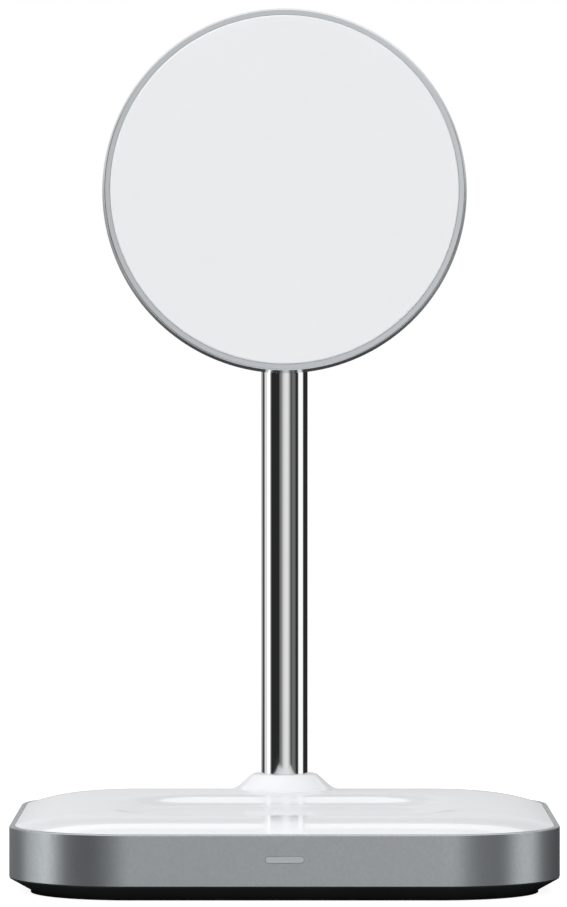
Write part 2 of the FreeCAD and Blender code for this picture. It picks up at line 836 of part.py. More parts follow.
def make_lead():
    """Lead from the end of the hinge pin into the head's board."""
    ahead = stem_y - head_board_back
    spine = [
        ("bend", (ear_out, stem_y, d.pivot_height), (lead_x, stem_y - d.cable_turn, d.pivot_height),
         (ear_out, stem_y - d.cable_turn, d.pivot_height)),
        ("line", (lead_x, stem_y - d.cable_turn, d.pivot_height), (lead_x, ahead, d.pivot_height)),
    ]
    return make_round_run("head_lead", spine, d.cable_radius)


def make_round_run(name, spine, radius):
    """Sweep a round section along straight runs and quarter bends."""
    edges = []
    for kind, *spots in spine:
        ends = [Vector(*[as_size(number).value for number in spot]) for spot in spots]
        if kind == "line":
            edges.append(Part.LineSegment(ends[0], ends[1]).toShape())
        else:
            out_a = ends[0] - ends[2]
            out_b = ends[1] - ends[2]
            middle = ends[2] + (out_a + out_b).normalize() * out_a.Length
            edges.append(Part.Arc(ends[0], middle, ends[1]).toShape())
    path = Part.Wire(edges)
    start = path.Edges[0]
    section = Part.Wire(Part.Circle(start.valueAt(start.FirstParameter),
                                    start.tangentAt(start.FirstParameter), radius.value).toShape())
    item = doc.addObject("Part::Feature", name)
    item.Label = name
    item.Shape = path.makePipeShell([section], True, False)
    return SimpleNamespace(name=name, body=item)


def make_plug():
    """Cable plug on the board."""
    piece = Piece("cable_plug")
    place = stem_y - d.cable_bend - d.plug_gap - d.plug_depth / 2
    piece.pad(piece.draw(z=board_top).box(d.plug_width, d.plug_depth, 0, place), d.plug_height)
    return piece


def make_eye():
    """Hinge eye: a plug in the stem, a shoulder, a flat neck and a round eye across."""
    piece = Piece("pivot_eye")
    barrel = piece.draw("YZ_Plane", z=-d.eye_width / 2)
    barrel.circle(d.eye_radius, stem_y, d.pivot_height)
    piece.pad(barrel, d.eye_width)
    neck_low = stem_top + d.eye_shoulder
    neck = piece.draw(z=neck_low).box(d.eye_width, d.eye_neck_depth, 0, stem_y)
    piece.pad(neck, d.pivot_height - neck_low)
    piece.pad(piece.draw(z=stem_top).circle(d.stem_radius, y=stem_y), d.eye_shoulder)
    plug = piece.draw(z=stem_top).circle(d.stem_radius - d.stem_wall - d.snug, y=stem_y)
    piece.pad(plug, d.eye_plug_length, down=True)
    hole = piece.draw("YZ_Plane", z=-d.eye_width)
    hole.circle(d.pin_radius + d.pin_fit, stem_y, d.pivot_height)
    piece.cut(hole, d.eye_width * 2, up=True)
    bore = piece.draw(z=d.pivot_height).circle(d.eye_bore, y=stem_y)
    piece.cut(bore, d.pivot_height - stem_top + d.eye_plug_length * 1.1)
    return piece


def make_pin():
    """Hollow hinge pin with a slot underneath where the cable comes in."""
    piece = Piece("hinge_pin")
    tube = piece.draw("YZ_Plane", z=-ear_out)
    tube.circle(d.pin_radius, stem_y, d.pivot_height)
    tube.circle(d.pin_bore, stem_y, d.pivot_height)
    piece.pad(tube, 2 * ear_out)
    slot = piece.draw(z=d.pivot_height)
    slot.box(d.eye_width - 2 * d.snug, 2 * d.pin_bore, 0, stem_y)
    piece.cut(slot, d.pin_radius * 1.5)
    return piece


def make_washers():
    """Two friction washers between the eye and the ears."""
    piece = Piece("friction_washers")
    half = d.eye_width / 2
    for place in (-half - d.washer_thick, half):
        ring = piece.draw("YZ_Plane", z=place)
        ring.circle(d.washer_radius, stem_y, d.pivot_height)
        ring.circle(d.pin_radius + d.pin_fit, stem_y, d.pivot_height)
        piece.pad(ring, d.washer_thick)
    return piece


def make_housing():
    """Round metal housing of the head: a cup, open towards the phone."""
    piece = Piece("head_housing", on_head=True)
    rim = d.head_radius
    wide = rim + d.head_flare
    seat = d.face_radius + d.snug
    inner = d.head_inner_radius
    section = piece.draw("XZ_Plane")
    section.outline([(0, d.head_back), (wide, d.head_back), (rim, head_front), (seat, head_front),
                     (seat, face_back), (inner, face_back), (inner, head_floor), (0, head_floor)])
    piece.turn(section)
    for radius, height, reach in ((d.head_back_fillet, d.head_back, wide),
                                  (d.head_front_fillet, head_front, rim)):
        at_rim = level_edge(height.value, lambda box, reach=reach: abs(box.XMax - reach.value) < 1e-3)
        piece.round_edges(radius, at_rim)
    board_post = piece.draw(z=head_floor).circle(d.head_post_radius, y=d.head_post_circle)
    step = piece.pad(board_post, head_board_back - head_floor)
    piece.ring_of(step, board_post, 3)
    tray_post = piece.draw(z=head_floor).circle(d.head_post_radius, y=-d.tray_post_circle)
    step = piece.pad(tray_post, tray_back - head_floor)
    piece.ring_of(step, tray_post, 3)
    slots = piece.draw(z=head_floor)
    tall = 2 * (d.eye_radius + d.snug)
    for sign in (-1, 1):
        slots.box(d.ear_thick + 2 * d.snug, tall, sign * (ear_in + d.ear_thick / 2), 0)
    slots.circle(d.cable_radius + 4 * d.snug, lead_x, 0)
    piece.cut(slots, d.head_wall * 1.5)
    screws = piece.draw(z=head_floor).circles(d.bracket_screw_radius + d.snug, bracket_places)
    piece.cut(screws, d.bracket_screw_bite + d.snug)
    return piece


def make_face():
    """Plain white face that the phone sits against."""
    piece = Piece("head_face", on_head=True)
    piece.pad(piece.draw(z=face_back).circle(d.face_radius), d.face_seat + d.face_proud)
    piece.round_edges(d.face_edge, face_front_edge)
    return piece


def face_front_edge(edge):
    """Tell whether an edge is the front edge of the face."""
    return abs(edge.BoundBox.ZMin - (head_front + d.face_proud).value) < 1e-4


def make_tray():
    """Tray behind the face that carries the magnets and the coil."""
    piece = Piece("coil_tray", on_head=True)
    piece.pad(piece.draw(z=tray_back).circle(d.head_inner_radius - 4 * d.snug), d.tray_thick)
    groove = piece.draw(z=face_back)
    groove.circle(d.magnet_outer + d.snug)
    groove.circle(d.magnet_inner - d.snug)
    piece.cut(groove, d.magnet_thick + d.yoke_thick)
    pocket = piece.draw(z=face_back).circle(d.phone_coil_outer + d.ferrite_margin)
    piece.cut(pocket, d.coil_thick + d.ferrite_thick)
    return piece


def make_magnets():
    """Ring of arc magnets."""
    piece = Piece("magnet_ring", on_head=True)
    ring = piece.draw(z=face_back)
    ring.circle(d.magnet_outer)
    ring.circle(d.magnet_inner)
    piece.pad(ring, d.magnet_thick, down=True)
    slit = piece.draw(z=face_back)
    across = 2 * (d.magnet_outer - d.magnet_inner)
    slit.box(d.magnet_slit, across, 0, (d.magnet_outer + d.magnet_inner) / 2)
    step = piece.cut(slit, d.magnet_thick * 1.5)
    piece.ring_of(step, slit, d.magnet_count)
    return piece


def make_yoke():
    """Steel ring behind the magnets."""
    piece = Piece("magnet_yoke", on_head=True)
    ring = piece.draw(z=face_back - d.magnet_thick)
    ring.circle(d.magnet_outer)
    ring.circle(d.magnet_inner)
    piece.pad(ring, d.yoke_thick, down=True)
    return piece


def make_phone_coil():
    """Flat coil behind the face."""
    piece = Piece("phone_coil", on_head=True)
    ring = piece.draw(z=face_back)
    ring.circle(d.phone_coil_outer)
    ring.circle(d.phone_coil_inner)
    piece.pad(ring, d.coil_thick, down=True)
    return piece


def make_phone_ferrite():
    """Ferrite disc behind the phone coil."""
    piece = Piece("phone_ferrite", on_head=True)
    disc = piece.draw(z=face_back - d.coil_thick)
    disc.circle(d.phone_coil_outer + d.ferrite_margin - d.snug)
    piece.pad(disc, d.ferrite_thick, down=True)
    return piece


def make_head_board():
    """Round circuit board on the housing's posts."""
    piece = Piece("head_board", on_head=True)
    piece.pad(piece.draw(z=head_board_back).circle(d.head_board_radius), d.head_board_thick)
    return piece


def make_bracket():
    """Hinge bracket: a round flange inside the housing with two ears out through its back."""
    piece = Piece("hinge_bracket", on_head=True)
    flange = piece.draw(z=head_floor).circle(d.bracket_radius)
    flange.circle(d.cable_radius + 4 * d.snug, lead_x, 0)
    flange.circles(d.bracket_screw_radius + d.snug, bracket_places)
    piece.pad(flange, d.bracket_thick)
    for start in (-ear_out, ear_in):
        piece.pad(ear_profile(piece, start, head_floor), d.ear_thick)
    hole = piece.draw("YZ_Plane", z=-ear_out * 1.1)
    hole.circle(d.pin_radius + d.pin_fit)
    piece.cut(hole, ear_out * 2.2, up=True)
    return piece


def ear_profile(piece, start, reach):
    """Draw an ear: round about the pivot, with straight sides as far as the reach."""
    profile = piece.draw("YZ_Plane", z=start)
    radius = d.eye_radius
    profile.outline([(-radius, 0), (radius, 0), (radius, reach), (-radius, reach)], half_round=0)
    return profile


def make_caps():
    """Covers on the outer sides of the ears; one has a groove for the lead."""
    piece = Piece("hinge_caps", on_head=True)
    for start in (-cap_out, ear_out):
        piece.pad(ear_profile(piece, start, d.head_back), d.cap_thick)
    groove = piece.draw("XZ_Plane", z=d.cable_radius + 4 * d.snug)
    width = d.cable_turn + d.cable_radius + 4 * d.snug
    low = -(d.cable_radius + 4 * d.snug)
    groove.outline([(ear_out, low), (ear_out + width, low), (ear_out + width, d.head_back),
                    (ear_out, d.head_back)])
    piece.cut(groove, 2 * (d.cable_radius + 4 * d.snug))
    return piece


def make_bracket_screws():
    """Four screws that hold the bracket to the back of the housing."""
    piece = Piece("bracket_screws", on_head=True)
    heads = piece.draw(z=bracket_front).circles(d.bracket_head_radius, bracket_places)
    piece.pad(heads, d.bracket_head_height)
    shank = piece.draw(z=bracket_front).circles(d.bracket_screw_radius, bracket_places)
    piece.pad(shank, d.bracket_thick + d.bracket_screw_bite, down=True)
    return piece


MAKERS = (
    make_band, make_deck, make_bottom, make_foot_pad, make_case_screws, make_weight, make_board,
    make_board_screws, make_board_parts, make_socket, make_tongue, make_window, make_led,
    make_case_coil, make_case_ferrite, make_stem, make_flange, make_flange_screws, make_cable,
    make_plug, make_eye, make_pin, make_washers, make_housing, make_face, make_tray, make_magnets,
    make_yoke, make_phone_coil, make_phone_ferrite, make_head_board, make_bracket, make_caps,
    make_bracket_screws, make_lead,
)

pieces = [maker() for maker in MAKERS]
doc.recompute()

for item in doc.Objects:
    if "Invalid" in item.State or "Error" in item.State:
        raise RuntimeError(f"{item.Label} did not build: {item.State}")
os.makedirs("parts", exist_ok=True)
for piece in pieces:
    shape = piece.body.Shape
    if shape.isNull() or not shape.isValid():
        raise RuntimeError(f"{piece.name} has no sound shape")
    shape.exportStep(f"parts/{piece.name}.step")
    box = shape.BoundBox
    print(f"{piece.name}: {len(shape.Solids)} solid(s), {shape.Volume:.1f} mm3, "
          f"z {box.ZMin:.2f} to {box.ZMax:.2f}")
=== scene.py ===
"""Two in one wireless charging stand: smooth skins, finishes, studio light and camera."""

import json
import logging
import math
from dataclasses import dataclass, field
from enum import Enum
from typing import Callable, Sequence

import bmesh
import bpy
import numpy as np
from bpy.types import Material, Mesh, Node, NodeSocket, NodeTree, Object
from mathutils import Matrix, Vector


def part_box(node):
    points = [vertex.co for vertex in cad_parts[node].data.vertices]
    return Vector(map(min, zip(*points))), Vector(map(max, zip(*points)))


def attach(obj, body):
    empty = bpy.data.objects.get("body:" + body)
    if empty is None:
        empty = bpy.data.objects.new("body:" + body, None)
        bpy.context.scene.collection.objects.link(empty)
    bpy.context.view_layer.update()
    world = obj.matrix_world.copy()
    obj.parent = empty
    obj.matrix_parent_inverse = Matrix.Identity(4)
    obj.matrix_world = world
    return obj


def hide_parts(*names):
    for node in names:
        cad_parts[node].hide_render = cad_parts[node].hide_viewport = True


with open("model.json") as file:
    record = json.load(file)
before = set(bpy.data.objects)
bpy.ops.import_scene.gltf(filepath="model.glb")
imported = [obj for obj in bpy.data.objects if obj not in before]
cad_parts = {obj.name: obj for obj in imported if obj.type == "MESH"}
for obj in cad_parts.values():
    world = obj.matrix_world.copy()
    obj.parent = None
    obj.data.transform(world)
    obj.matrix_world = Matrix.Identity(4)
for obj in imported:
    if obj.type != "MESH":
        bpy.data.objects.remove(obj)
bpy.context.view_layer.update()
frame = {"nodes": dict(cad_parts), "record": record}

MM = 0.001
STEM_Y = 29.25
SHARP_ANGLE = math.radians(28)
MERGE_GAP = 1e-7
COPY_MERGE_GAP = 2e-6
COPY_FLAT_ANGLE = math.radians(0.4)
CLOUD_SCALE = 90.0
CLOUD_SPREAD = 0.25
NOISE_MIDDLE = 0.5
WHITE = (1.0, 1.0, 1.0, 1.0)
LOG = logging.getLogger("charging_stand")

Colour = tuple[float, float, float]
Point = tuple[float, float, float]
Profile = list[tuple[float, float]]


class BodyName(Enum):
    """The two bodies that pieces ride on."""

    STAND = "stand"
    HEAD = "head"


class Effect(Enum):
    """Surface effects that several finishes share."""

    GRAIN = "fine_grain"
    CLOUD = "slow_cloud"
    LINES = "drawn_lines"


def new_object(name: str, mesh: Mesh) -> Object:
    """Put a mesh into the scene as an object at the origin.

    Args:
        name: Name of the piece.
        mesh: Its mesh, already in place.

    Returns:
        The new object.
    """
    thing = bpy.data.objects.new(name, mesh)
    bpy.context.scene.collection.objects.link(thing)
    return thing


def mark_sharp(work: bmesh.types.BMesh) -> None:
    """Shade every face smooth and mark the edges that turn by more than the sharp angle."""
    for face in work.faces:
        face.smooth = True
    for edge in work.edges:
        if len(edge.link_faces) == 2:
            edge.smooth = edge.calc_face_angle(0.0) < SHARP_ANGLE


def mesh_from(name: str, points: Sequence[Point], faces: Sequence[Sequence[int]]) -> Mesh:
    """Make a closed mesh with outward faces from points in millimetres.

    Args:
        name: Name of the mesh.
        points: Corner points in millimetres.
        faces: Corner numbers of each face.

    Returns:
        The mesh, in metres.
    """
    mesh = bpy.data.meshes.new(name)
    mesh.from_pydata([tuple(float(value) * MM for value in point) for point in points], [], faces)
    work = bmesh.new()
    work.from_mesh(mesh)
    bmesh.ops.remove_doubles(work, verts=work.verts, dist=MERGE_GAP)
    bmesh.ops.recalc_face_normals(work, faces=work.faces)
    mark_sharp(work)
    work.to_mesh(mesh)
    work.free()
    return mesh


def resharpen(thing: Object) -> None:
    """Mark the sharp edges of an object's mesh again after a cut."""
    work = bmesh.new()
    work.from_mesh(thing.data)
    mark_sharp(work)
    work.to_mesh(thing.data)
    work.free()


def apply_modifiers(thing: Object) -> None:
    """Turn an object's modifiers into its plain mesh."""
    bpy.context.view_layer.update()
    graph = bpy.context.evaluated_depsgraph_get()
    mesh = bpy.data.meshes.new_from_object(thing.evaluated_get(graph))
    thing.modifiers.clear()
    thing.data = mesh


def even_normals(thing: Object) -> Object:
    """Let large faces lead the shading, so that flats stay flat beside small rounds.

    Args:
        thing: The object, with its sharp edges marked.

    Returns:
        The same object.
    """
    even = thing.modifiers.new("even", "WEIGHTED_NORMAL")
    even.keep_sharp = True
    apply_modifiers(thing)
    return thing


def carve(thing: Object, cutters: Sequence[Object]) -> None:
    """Cut other shapes out of an object and remove them.

    Args:
        thing: The object to cut.
        cutters: Closed shapes that are taken away from it.
    """
    for cutter in cutters:
        cut = thing.modifiers.new("cut", "BOOLEAN")
        cut.operation = "DIFFERENCE"
        cut.solver = "EXACT"
        cut.object = cutter
    apply_modifiers(thing)
    for cutter in cutters:
        bpy.data.objects.remove(cutter)
    resharpen(thing)


def loop_faces(first: int, second: int, count: int) -> list[tuple[int, int, int, int]]:
    """Join two closed rows of points with quads.

    Args:
        first: Number of the first row's first point.
        second: Number of the second row's first point.
        count: Points in each row.

    Returns:
        One quad for each step round the rows.
    """
    return [(first + step, first + (step + 1) % count, second + (step + 1) % count, second + step)
            for step in range(count)]


def ring_skin(name: str, points: Sequence[Point], rows: int) -> Object:
    """Join closed rows of points, the last row to the first, into one object.

    Args:
        name: Name of the object.
        points: The points in millimetres, row by row.
        rows: Number of rows.

    Returns:
        The object.
    """
    count = len(points) // rows
    faces: list[Sequence[int]] = []
    for row in range(rows):
        faces += loop_faces(row * count, (row + 1) % rows * count, count)
    return new_object(name, mesh_from(name, points, faces))


def turned(name: str, profile: Profile, place: Callable[[float, float, float], Point],
           segments: int = 192, closed: bool = True) -> Mesh:
    """Turn a profile about an axis.

    Args:
        name: Name of the mesh.
        profile: Pairs of radius and distance along the axis; a radius of 0 closes on the axis.
        place: Gives the point for a distance along the axis and two offsets across it.
        segments: Steps round the axis.
        closed: Whether the profile's last point joins its first.

    Returns:
        The mesh.
    """
    points: list[Point] = []
    rows: list[tuple[int, bool]] = []
    for radius, along in profile:
        rows.append((len(points), radius == 0))
        if radius == 0:
            points.append(place(along, 0.0, 0.0))
            continue
        for step in range(segments):
            angle = 2 * math.pi * step / segments
            points.append(place(along, radius * math.cos(angle), radius * math.sin(angle)))
    faces: list[Sequence[int]] = []
    pairs = list(zip(rows, rows[1:] + rows[:1])) if closed else list(zip(rows, rows[1:]))
    for (low, low_pole), (high, high_pole) in pairs:
        if low_pole and high_pole:
            continue
        if low_pole or high_pole:
            pole, ring = (low, high) if low_pole else (high, low)
            faces += [(pole, ring + step, ring + (step + 1) % segments) for step in range(segments)]
        else:
            faces += loop_faces(low, high, segments)
    return mesh_from(name, points, faces)


def arc(centre: tuple[float, float], radius: float, start: float, stop: float,
        steps: int) -> Profile:
    """Points along an arc.

    Args:
        centre: Middle of the arc.
        radius: Its radius.
        start: First angle in degrees.
        stop: Last angle in degrees.
        steps: Number of steps.

    Returns:
        The points, both ends among them.
    """
    angles = [math.radians(start + (stop - start) * step / steps) for step in range(steps + 1)]
    return [(centre[0] + radius * math.cos(angle), centre[1] + radius * math.sin(angle))
            for angle in angles]


def pill_outline(width: float, height: float, steps: int = 16) -> Profile:
    """Points round a bar with half round ends about the middle."""
    end = height / 2
    reach = width / 2 - end
    return arc((reach, 0), end, -90, 90, steps) + arc((-reach, 0), end, 90, 270, steps)


def prism(name: str, outline: Profile, place: Callable[[float, float, float], Point],
          low: float, high: float) -> Object:
    """Extrude an outline between two distances.

    Args:
        name: Name of the object.
        outline: Points of the outline.
        place: Gives the point for a distance and the outline's two coordinates.
        low: First distance.
        high: Last distance.

    Returns:
        The object.
    """
    count = len(outline)
    points = [place(distance, *spot) for distance in (low, high) for spot in outline]
    faces: list[Sequence[int]] = [tuple(range(count)), tuple(range(count, 2 * count))]
    faces += loop_faces(0, count, count)
    return new_object(name, mesh_from(name, points, faces))


def feed(tree: NodeTree, socket: NodeSocket, value: object) -> None:
    """Link an input to another node's output, or set it to a plain value.

    Args:
        tree: The tree that both nodes are in.
        socket: The input.
        value: An output or a plain value.
    """
    if isinstance(value, NodeSocket):
        tree.links.new(value, socket)
    else:
        socket.default_value = value


def fill_inputs(tree: NodeTree, node: Node, **inputs: object) -> Node:
    """Feed a node's inputs by name; an underline stands for a space.

    Args:
        tree: The node's tree.
        node: The node.
        **inputs: Outputs or plain values by the input's name.

    Returns:
        The same node.
    """
    for label, value in inputs.items():
        feed(tree, node.inputs[label.replace("_", " ")], value)
    return node


def add_node(tree: NodeTree, kind: str, **inputs: object) -> Node:
    """Add a node and feed its inputs by name."""
    return fill_inputs(tree, tree.nodes.new(kind), **inputs)


def add_math(tree: NodeTree, operation: str, *values: object) -> NodeSocket:
    """Add a math node on outputs or numbers and return its result."""
    node = tree.nodes.new("ShaderNodeMath")
    node.operation = operation
    for socket, value in zip(node.inputs, values):
        feed(tree, socket, value)
    return node.outputs[0]


def add_soft_step(tree: NodeTree, value: NodeSocket, start: object,
                  stop: object) -> NodeSocket:
    """Add a soft step from 0 to 1.

    Args:
        tree: The tree.
        value: What the step follows.
        start: Where it is 0, an output or a number.
        stop: Where it is 1, an output or a number.

    Returns:
        The step's result.
    """
    node = add_node(tree, "ShaderNodeMapRange", Value=value, From_Min=start, From_Max=stop)
    node.interpolation_type = "SMOOTHSTEP"
    return node.outputs["Result"]


@dataclass(frozen=True)
class EffectLibrary:
    """Shader node groups that finishes share, each built once."""

    groups: dict[Effect, NodeTree]

    @classmethod
    def build(cls) -> "EffectLibrary":
        """Make every group."""
        makers = {Effect.GRAIN: cls.make_noise, Effect.CLOUD: cls.make_noise,
                  Effect.LINES: cls.make_lines}
        return cls({effect: maker(effect.value) for effect, maker in makers.items()})

    @staticmethod
    def shell(name: str, inputs: dict[str, float]) -> tuple:
        """Start a group with a vector, named numbers and a mask output.

        Args:
            name: Name of the group.
            inputs: Default of each number by its name.

        Returns:
            The tree, its input node and its output node.
        """
        tree = bpy.data.node_groups.new(name, "ShaderNodeTree")
        tree.interface.new_socket("Vector", in_out="INPUT", socket_type="NodeSocketVector")
        for label, default in inputs.items():
            socket = tree.interface.new_socket(label, in_out="INPUT", socket_type="NodeSocketFloat")
            socket.default_value = default
        tree.interface.new_socket("Mask", in_out="OUTPUT", socket_type="NodeSocketFloat")
        return tree, tree.nodes.new("NodeGroupInput"), tree.nodes.new("NodeGroupOutput")

    @classmethod
    def make_noise(cls, name: str) -> NodeTree:
        """Even noise, spread over the whole range of the mask."""
        tree, entry, leave = cls.shell(name, {"Scale": 1000.0, "Detail": 2.0, "Spread": 0.3})
        source = entry.outputs
        noise = add_node(tree, "ShaderNodeTexNoise", Vector=source["Vector"],
                         Scale=source["Scale"], Detail=source["Detail"])
        cls.spread(tree, entry, noise.outputs[0], leave)
        return tree

    @classmethod
    def make_lines(cls, name: str) -> NodeTree:
        """Noise drawn out level, so that it forms fine lines round an upright wall."""
        tree, entry, leave = cls.shell(name, {"Along": 60.0, "Across": 9000.0, "Spread": 0.3})
        source = entry.outputs
        across = add_node(tree, "ShaderNodeCombineXYZ", X=source["Along"], Y=source["Along"],
                          Z=source["Across"])
        stretch = tree.nodes.new("ShaderNodeVectorMath")
        stretch.operation = "MULTIPLY"
        tree.links.new(source["Vector"], stretch.inputs[0])
        tree.links.new(across.outputs["Vector"], stretch.inputs[1])
        noise = add_node(tree, "ShaderNodeTexNoise", Vector=stretch.outputs["Vector"], Scale=1.0)
        cls.spread(tree, entry, noise.outputs[0], leave)
        return tree

    @staticmethod
    def spread(tree: NodeTree, entry: Node, value: NodeSocket,
               leave: Node) -> None:
        """Stretch noise about its middle so that the mask runs from 0 to 1."""
        low, high = (add_math(tree, operation, NOISE_MIDDLE, entry.outputs["Spread"])
                     for operation in ("SUBTRACT", "ADD"))
        tree.links.new(add_soft_step(tree, value, low, high), leave.inputs["Mask"])


@dataclass(frozen=True)
class Finish:
    """One finish: two close colours, a range of roughness and a fine relief.

    The colours follow a slow cloud, or the relief itself where the finish is speckled. The grain is
    the relief's scale and its depth in millimetres.
    """

    slot: str
    colour: Colour
    shade: Colour
    roughness: tuple[float, float]
    metallic: float = 0.0
    relief: Effect = Effect.GRAIN
    grain: tuple[float, float] | None = None
    coat: float = 0.0
    coat_roughness: float = 0.05
    specular: float = 0.5
    speckled: bool = False

    def build(self, library: EffectLibrary) -> Material:
        """Make the material.

        Args:
            library: The shared effects.

        Returns:
            A material that reads object coordinates.
        """
        material = bpy.data.materials.new(self.slot)
        material.use_nodes = True
        tree = material.node_tree
        shader = fill_inputs(tree, tree.nodes["Principled BSDF"], Metallic=self.metallic,
                             Coat_Weight=self.coat, Coat_Roughness=self.coat_roughness,
                             Specular_IOR_Level=self.specular)
        where = tree.nodes.new("ShaderNodeTexCoord").outputs["Object"]
        cloud = self.add_effect(tree, library, Effect.CLOUD, where, Scale=CLOUD_SCALE,
                                Spread=CLOUD_SPREAD)
        mix = tree.nodes.new("ShaderNodeMix")
        mix.data_type = "RGBA"
        for socket in mix.inputs:
            if socket.identifier == "A_Color":
                socket.default_value = (*self.colour, 1.0)
            if socket.identifier == "B_Color":
                socket.default_value = (*self.shade, 1.0)
        blended = [socket for socket in mix.outputs if socket.identifier == "Result_Color"][0]
        tree.links.new(blended, shader.inputs["Base Color"])
        relief = self.add_relief(tree, library, where) if self.grain else cloud
        tree.links.new(relief if self.speckled else cloud, mix.inputs["Factor"])
        smooth, rough = self.roughness
        blend = add_node(tree, "ShaderNodeMapRange", Value=relief, To_Min=smooth, To_Max=rough)
        tree.links.new(blend.outputs["Result"], shader.inputs["Roughness"])
        if self.grain:
            bump = add_node(tree, "ShaderNodeBump", Strength=1.0, Distance=self.grain[1] * MM,
                            Height=relief)
            tree.links.new(bump.outputs["Normal"], shader.inputs["Normal"])
        return material

    def add_relief(self, tree: NodeTree, library: EffectLibrary,
                   where: NodeSocket) -> NodeSocket:
        """Place the finish's own relief effect and return its mask."""
        label = "Across" if self.relief is Effect.LINES else "Scale"
        return self.add_effect(tree, library, self.relief, where, **{label: self.grain[0]})

    @staticmethod
    def add_effect(tree: NodeTree, library: EffectLibrary, effect: Effect,
                   where: NodeSocket, **values: float) -> NodeSocket:
        """Place a shared effect in a material.

        Args:
            tree: The material's tree.
            library: The shared effects.
            effect: Which of them.
            where: Coordinates that it reads.
            **values: Its numbers by name.

        Returns:
            The effect's mask.
        """
        node = tree.nodes.new("ShaderNodeGroup")
        node.node_tree = library.groups[effect]
        return fill_inputs(tree, node, Vector=where, **values).outputs["Mask"]


FINISHES = (
    Finish("band_metal", (0.512, 0.542, 0.562), (0.473, 0.503, 0.523), (0.32, 0.38), metallic=0.9,
           grain=(1700.0, 0.004), speckled=True),
    Finish("head_metal", (0.74, 0.77, 0.80), (0.72, 0.75, 0.78), (0.17, 0.21), metallic=1.0,
           grain=(6000.0, 0.0008)),
    Finish("deck_white", (0.87, 0.88, 0.90), (0.86, 0.87, 0.89), (0.40, 0.46), coat=0.5,
           coat_roughness=0.025, specular=0.0),
    Finish("face_white", (0.925, 0.935, 0.95), (0.915, 0.925, 0.94), (0.40, 0.46),
           grain=(5000.0, 0.0012), specular=0.4),
    Finish("bottom_black", (0.021, 0.023, 0.023), (0.025, 0.027, 0.027), (0.50, 0.60),
           grain=(5000.0, 0.003), specular=0.0),
    Finish("pad_rubber", (0.006, 0.006, 0.006), (0.008, 0.008, 0.008), (0.65, 0.80),
           grain=(4000.0, 0.006), specular=0.0),
    Finish("stem_chrome", (0.93, 0.935, 0.94), (0.92, 0.925, 0.93), (0.03, 0.06), metallic=1.0),
    Finish("steel", (0.60, 0.60, 0.61), (0.52, 0.52, 0.53), (0.25, 0.38), metallic=1.0,
           relief=Effect.LINES, grain=(5000.0, 0.001)),
    Finish("screw_steel", (0.45, 0.45, 0.46), (0.38, 0.38, 0.39), (0.30, 0.42), metallic=1.0,
           grain=(3000.0, 0.002)),
    Finish("board_green", (0.015, 0.09, 0.045), (0.012, 0.07, 0.035), (0.30, 0.42),
           grain=(1500.0, 0.004)),
    Finish("parts_black", (0.025, 0.025, 0.026), (0.035, 0.035, 0.036), (0.45, 0.60),
           grain=(4000.0, 0.003)),
    Finish("insert_black", (0.015, 0.015, 0.016), (0.020, 0.020, 0.021), (0.40, 0.50),
           grain=(5000.0, 0.002)),
    Finish("window_clear", (0.45, 0.47, 0.485), (0.435, 0.455, 0.47), (0.30, 0.38),
           grain=(6000.0, 0.001)),
    Finish("led_white", (0.80, 0.80, 0.72), (0.75, 0.75, 0.62), (0.25, 0.35)),
    Finish("winding", (0.50, 0.22, 0.10), (0.42, 0.17, 0.07), (0.30, 0.42), metallic=1.0,
           grain=(2500.0, 0.02)),
    Finish("ferrite", (0.040, 0.040, 0.042), (0.055, 0.055, 0.056), (0.55, 0.70),
           grain=(3000.0, 0.006)),
    Finish("magnet", (0.62, 0.60, 0.57), (0.56, 0.54, 0.51), (0.18, 0.30), metallic=1.0),
    Finish("cable_black", (0.018, 0.018, 0.018), (0.024, 0.024, 0.024), (0.40, 0.55),
           grain=(3500.0, 0.003)),
    Finish("plug_white", (0.72, 0.70, 0.64), (0.68, 0.66, 0.60), (0.40, 0.50),
           grain=(4000.0, 0.002)),
    Finish("washer_grey", (0.08, 0.08, 0.082), (0.10, 0.10, 0.102), (0.50, 0.62),
           grain=(4000.0, 0.003)),
    Finish("cap_grey", (0.20, 0.21, 0.22), (0.18, 0.19, 0.20), (0.34, 0.42), grain=(5000.0, 0.002)),
    Finish("tray_white", (0.62, 0.62, 0.62), (0.58, 0.58, 0.58), (0.40, 0.50),
           grain=(3000.0, 0.003)),
)


@dataclass(frozen=True)
class Wardrobe:
    """All materials by the record's slot names."""

    materials: dict[str, Material]

    @classmethod
    def build(cls) -> "Wardrobe":
        """Make every finish's material."""
        library = EffectLibrary.build()
        return cls({finish.slot: finish.build(library) for finish in FINISHES})

    def dress(self, thing: Object, slot: str) -> None:
        """Give an object one slot's material in place of what it had."""
        thing.data.materials.clear()
        thing.data.materials.append(self.materials[slot])

    def dress_nodes(self) -> None:
        """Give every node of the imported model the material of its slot."""
        for row in frame["record"]["subparts"]:
            self.dress(frame["nodes"][row["node"]], row["material_slot"])


def adopt(thing: Object, body: BodyName, slot: str, wardrobe: Wardrobe,
          replaced: Sequence[str] = ()) -> None:
    """Dress a new piece, set it on its body and hide the nodes that it stands for.

    Args:
        thing: The piece.
        body: The body that it moves with.
        slot: Its material slot.
        wardrobe: All materials.
        replaced: Nodes that it stands for.
    """
    wardrobe.dress(thing, slot)
    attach(thing, body.value)
    if replaced:
        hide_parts(*replaced)
    LOG.info("%s: %d faces on %s", thing.name, len(thing.data.polygons), body.value)


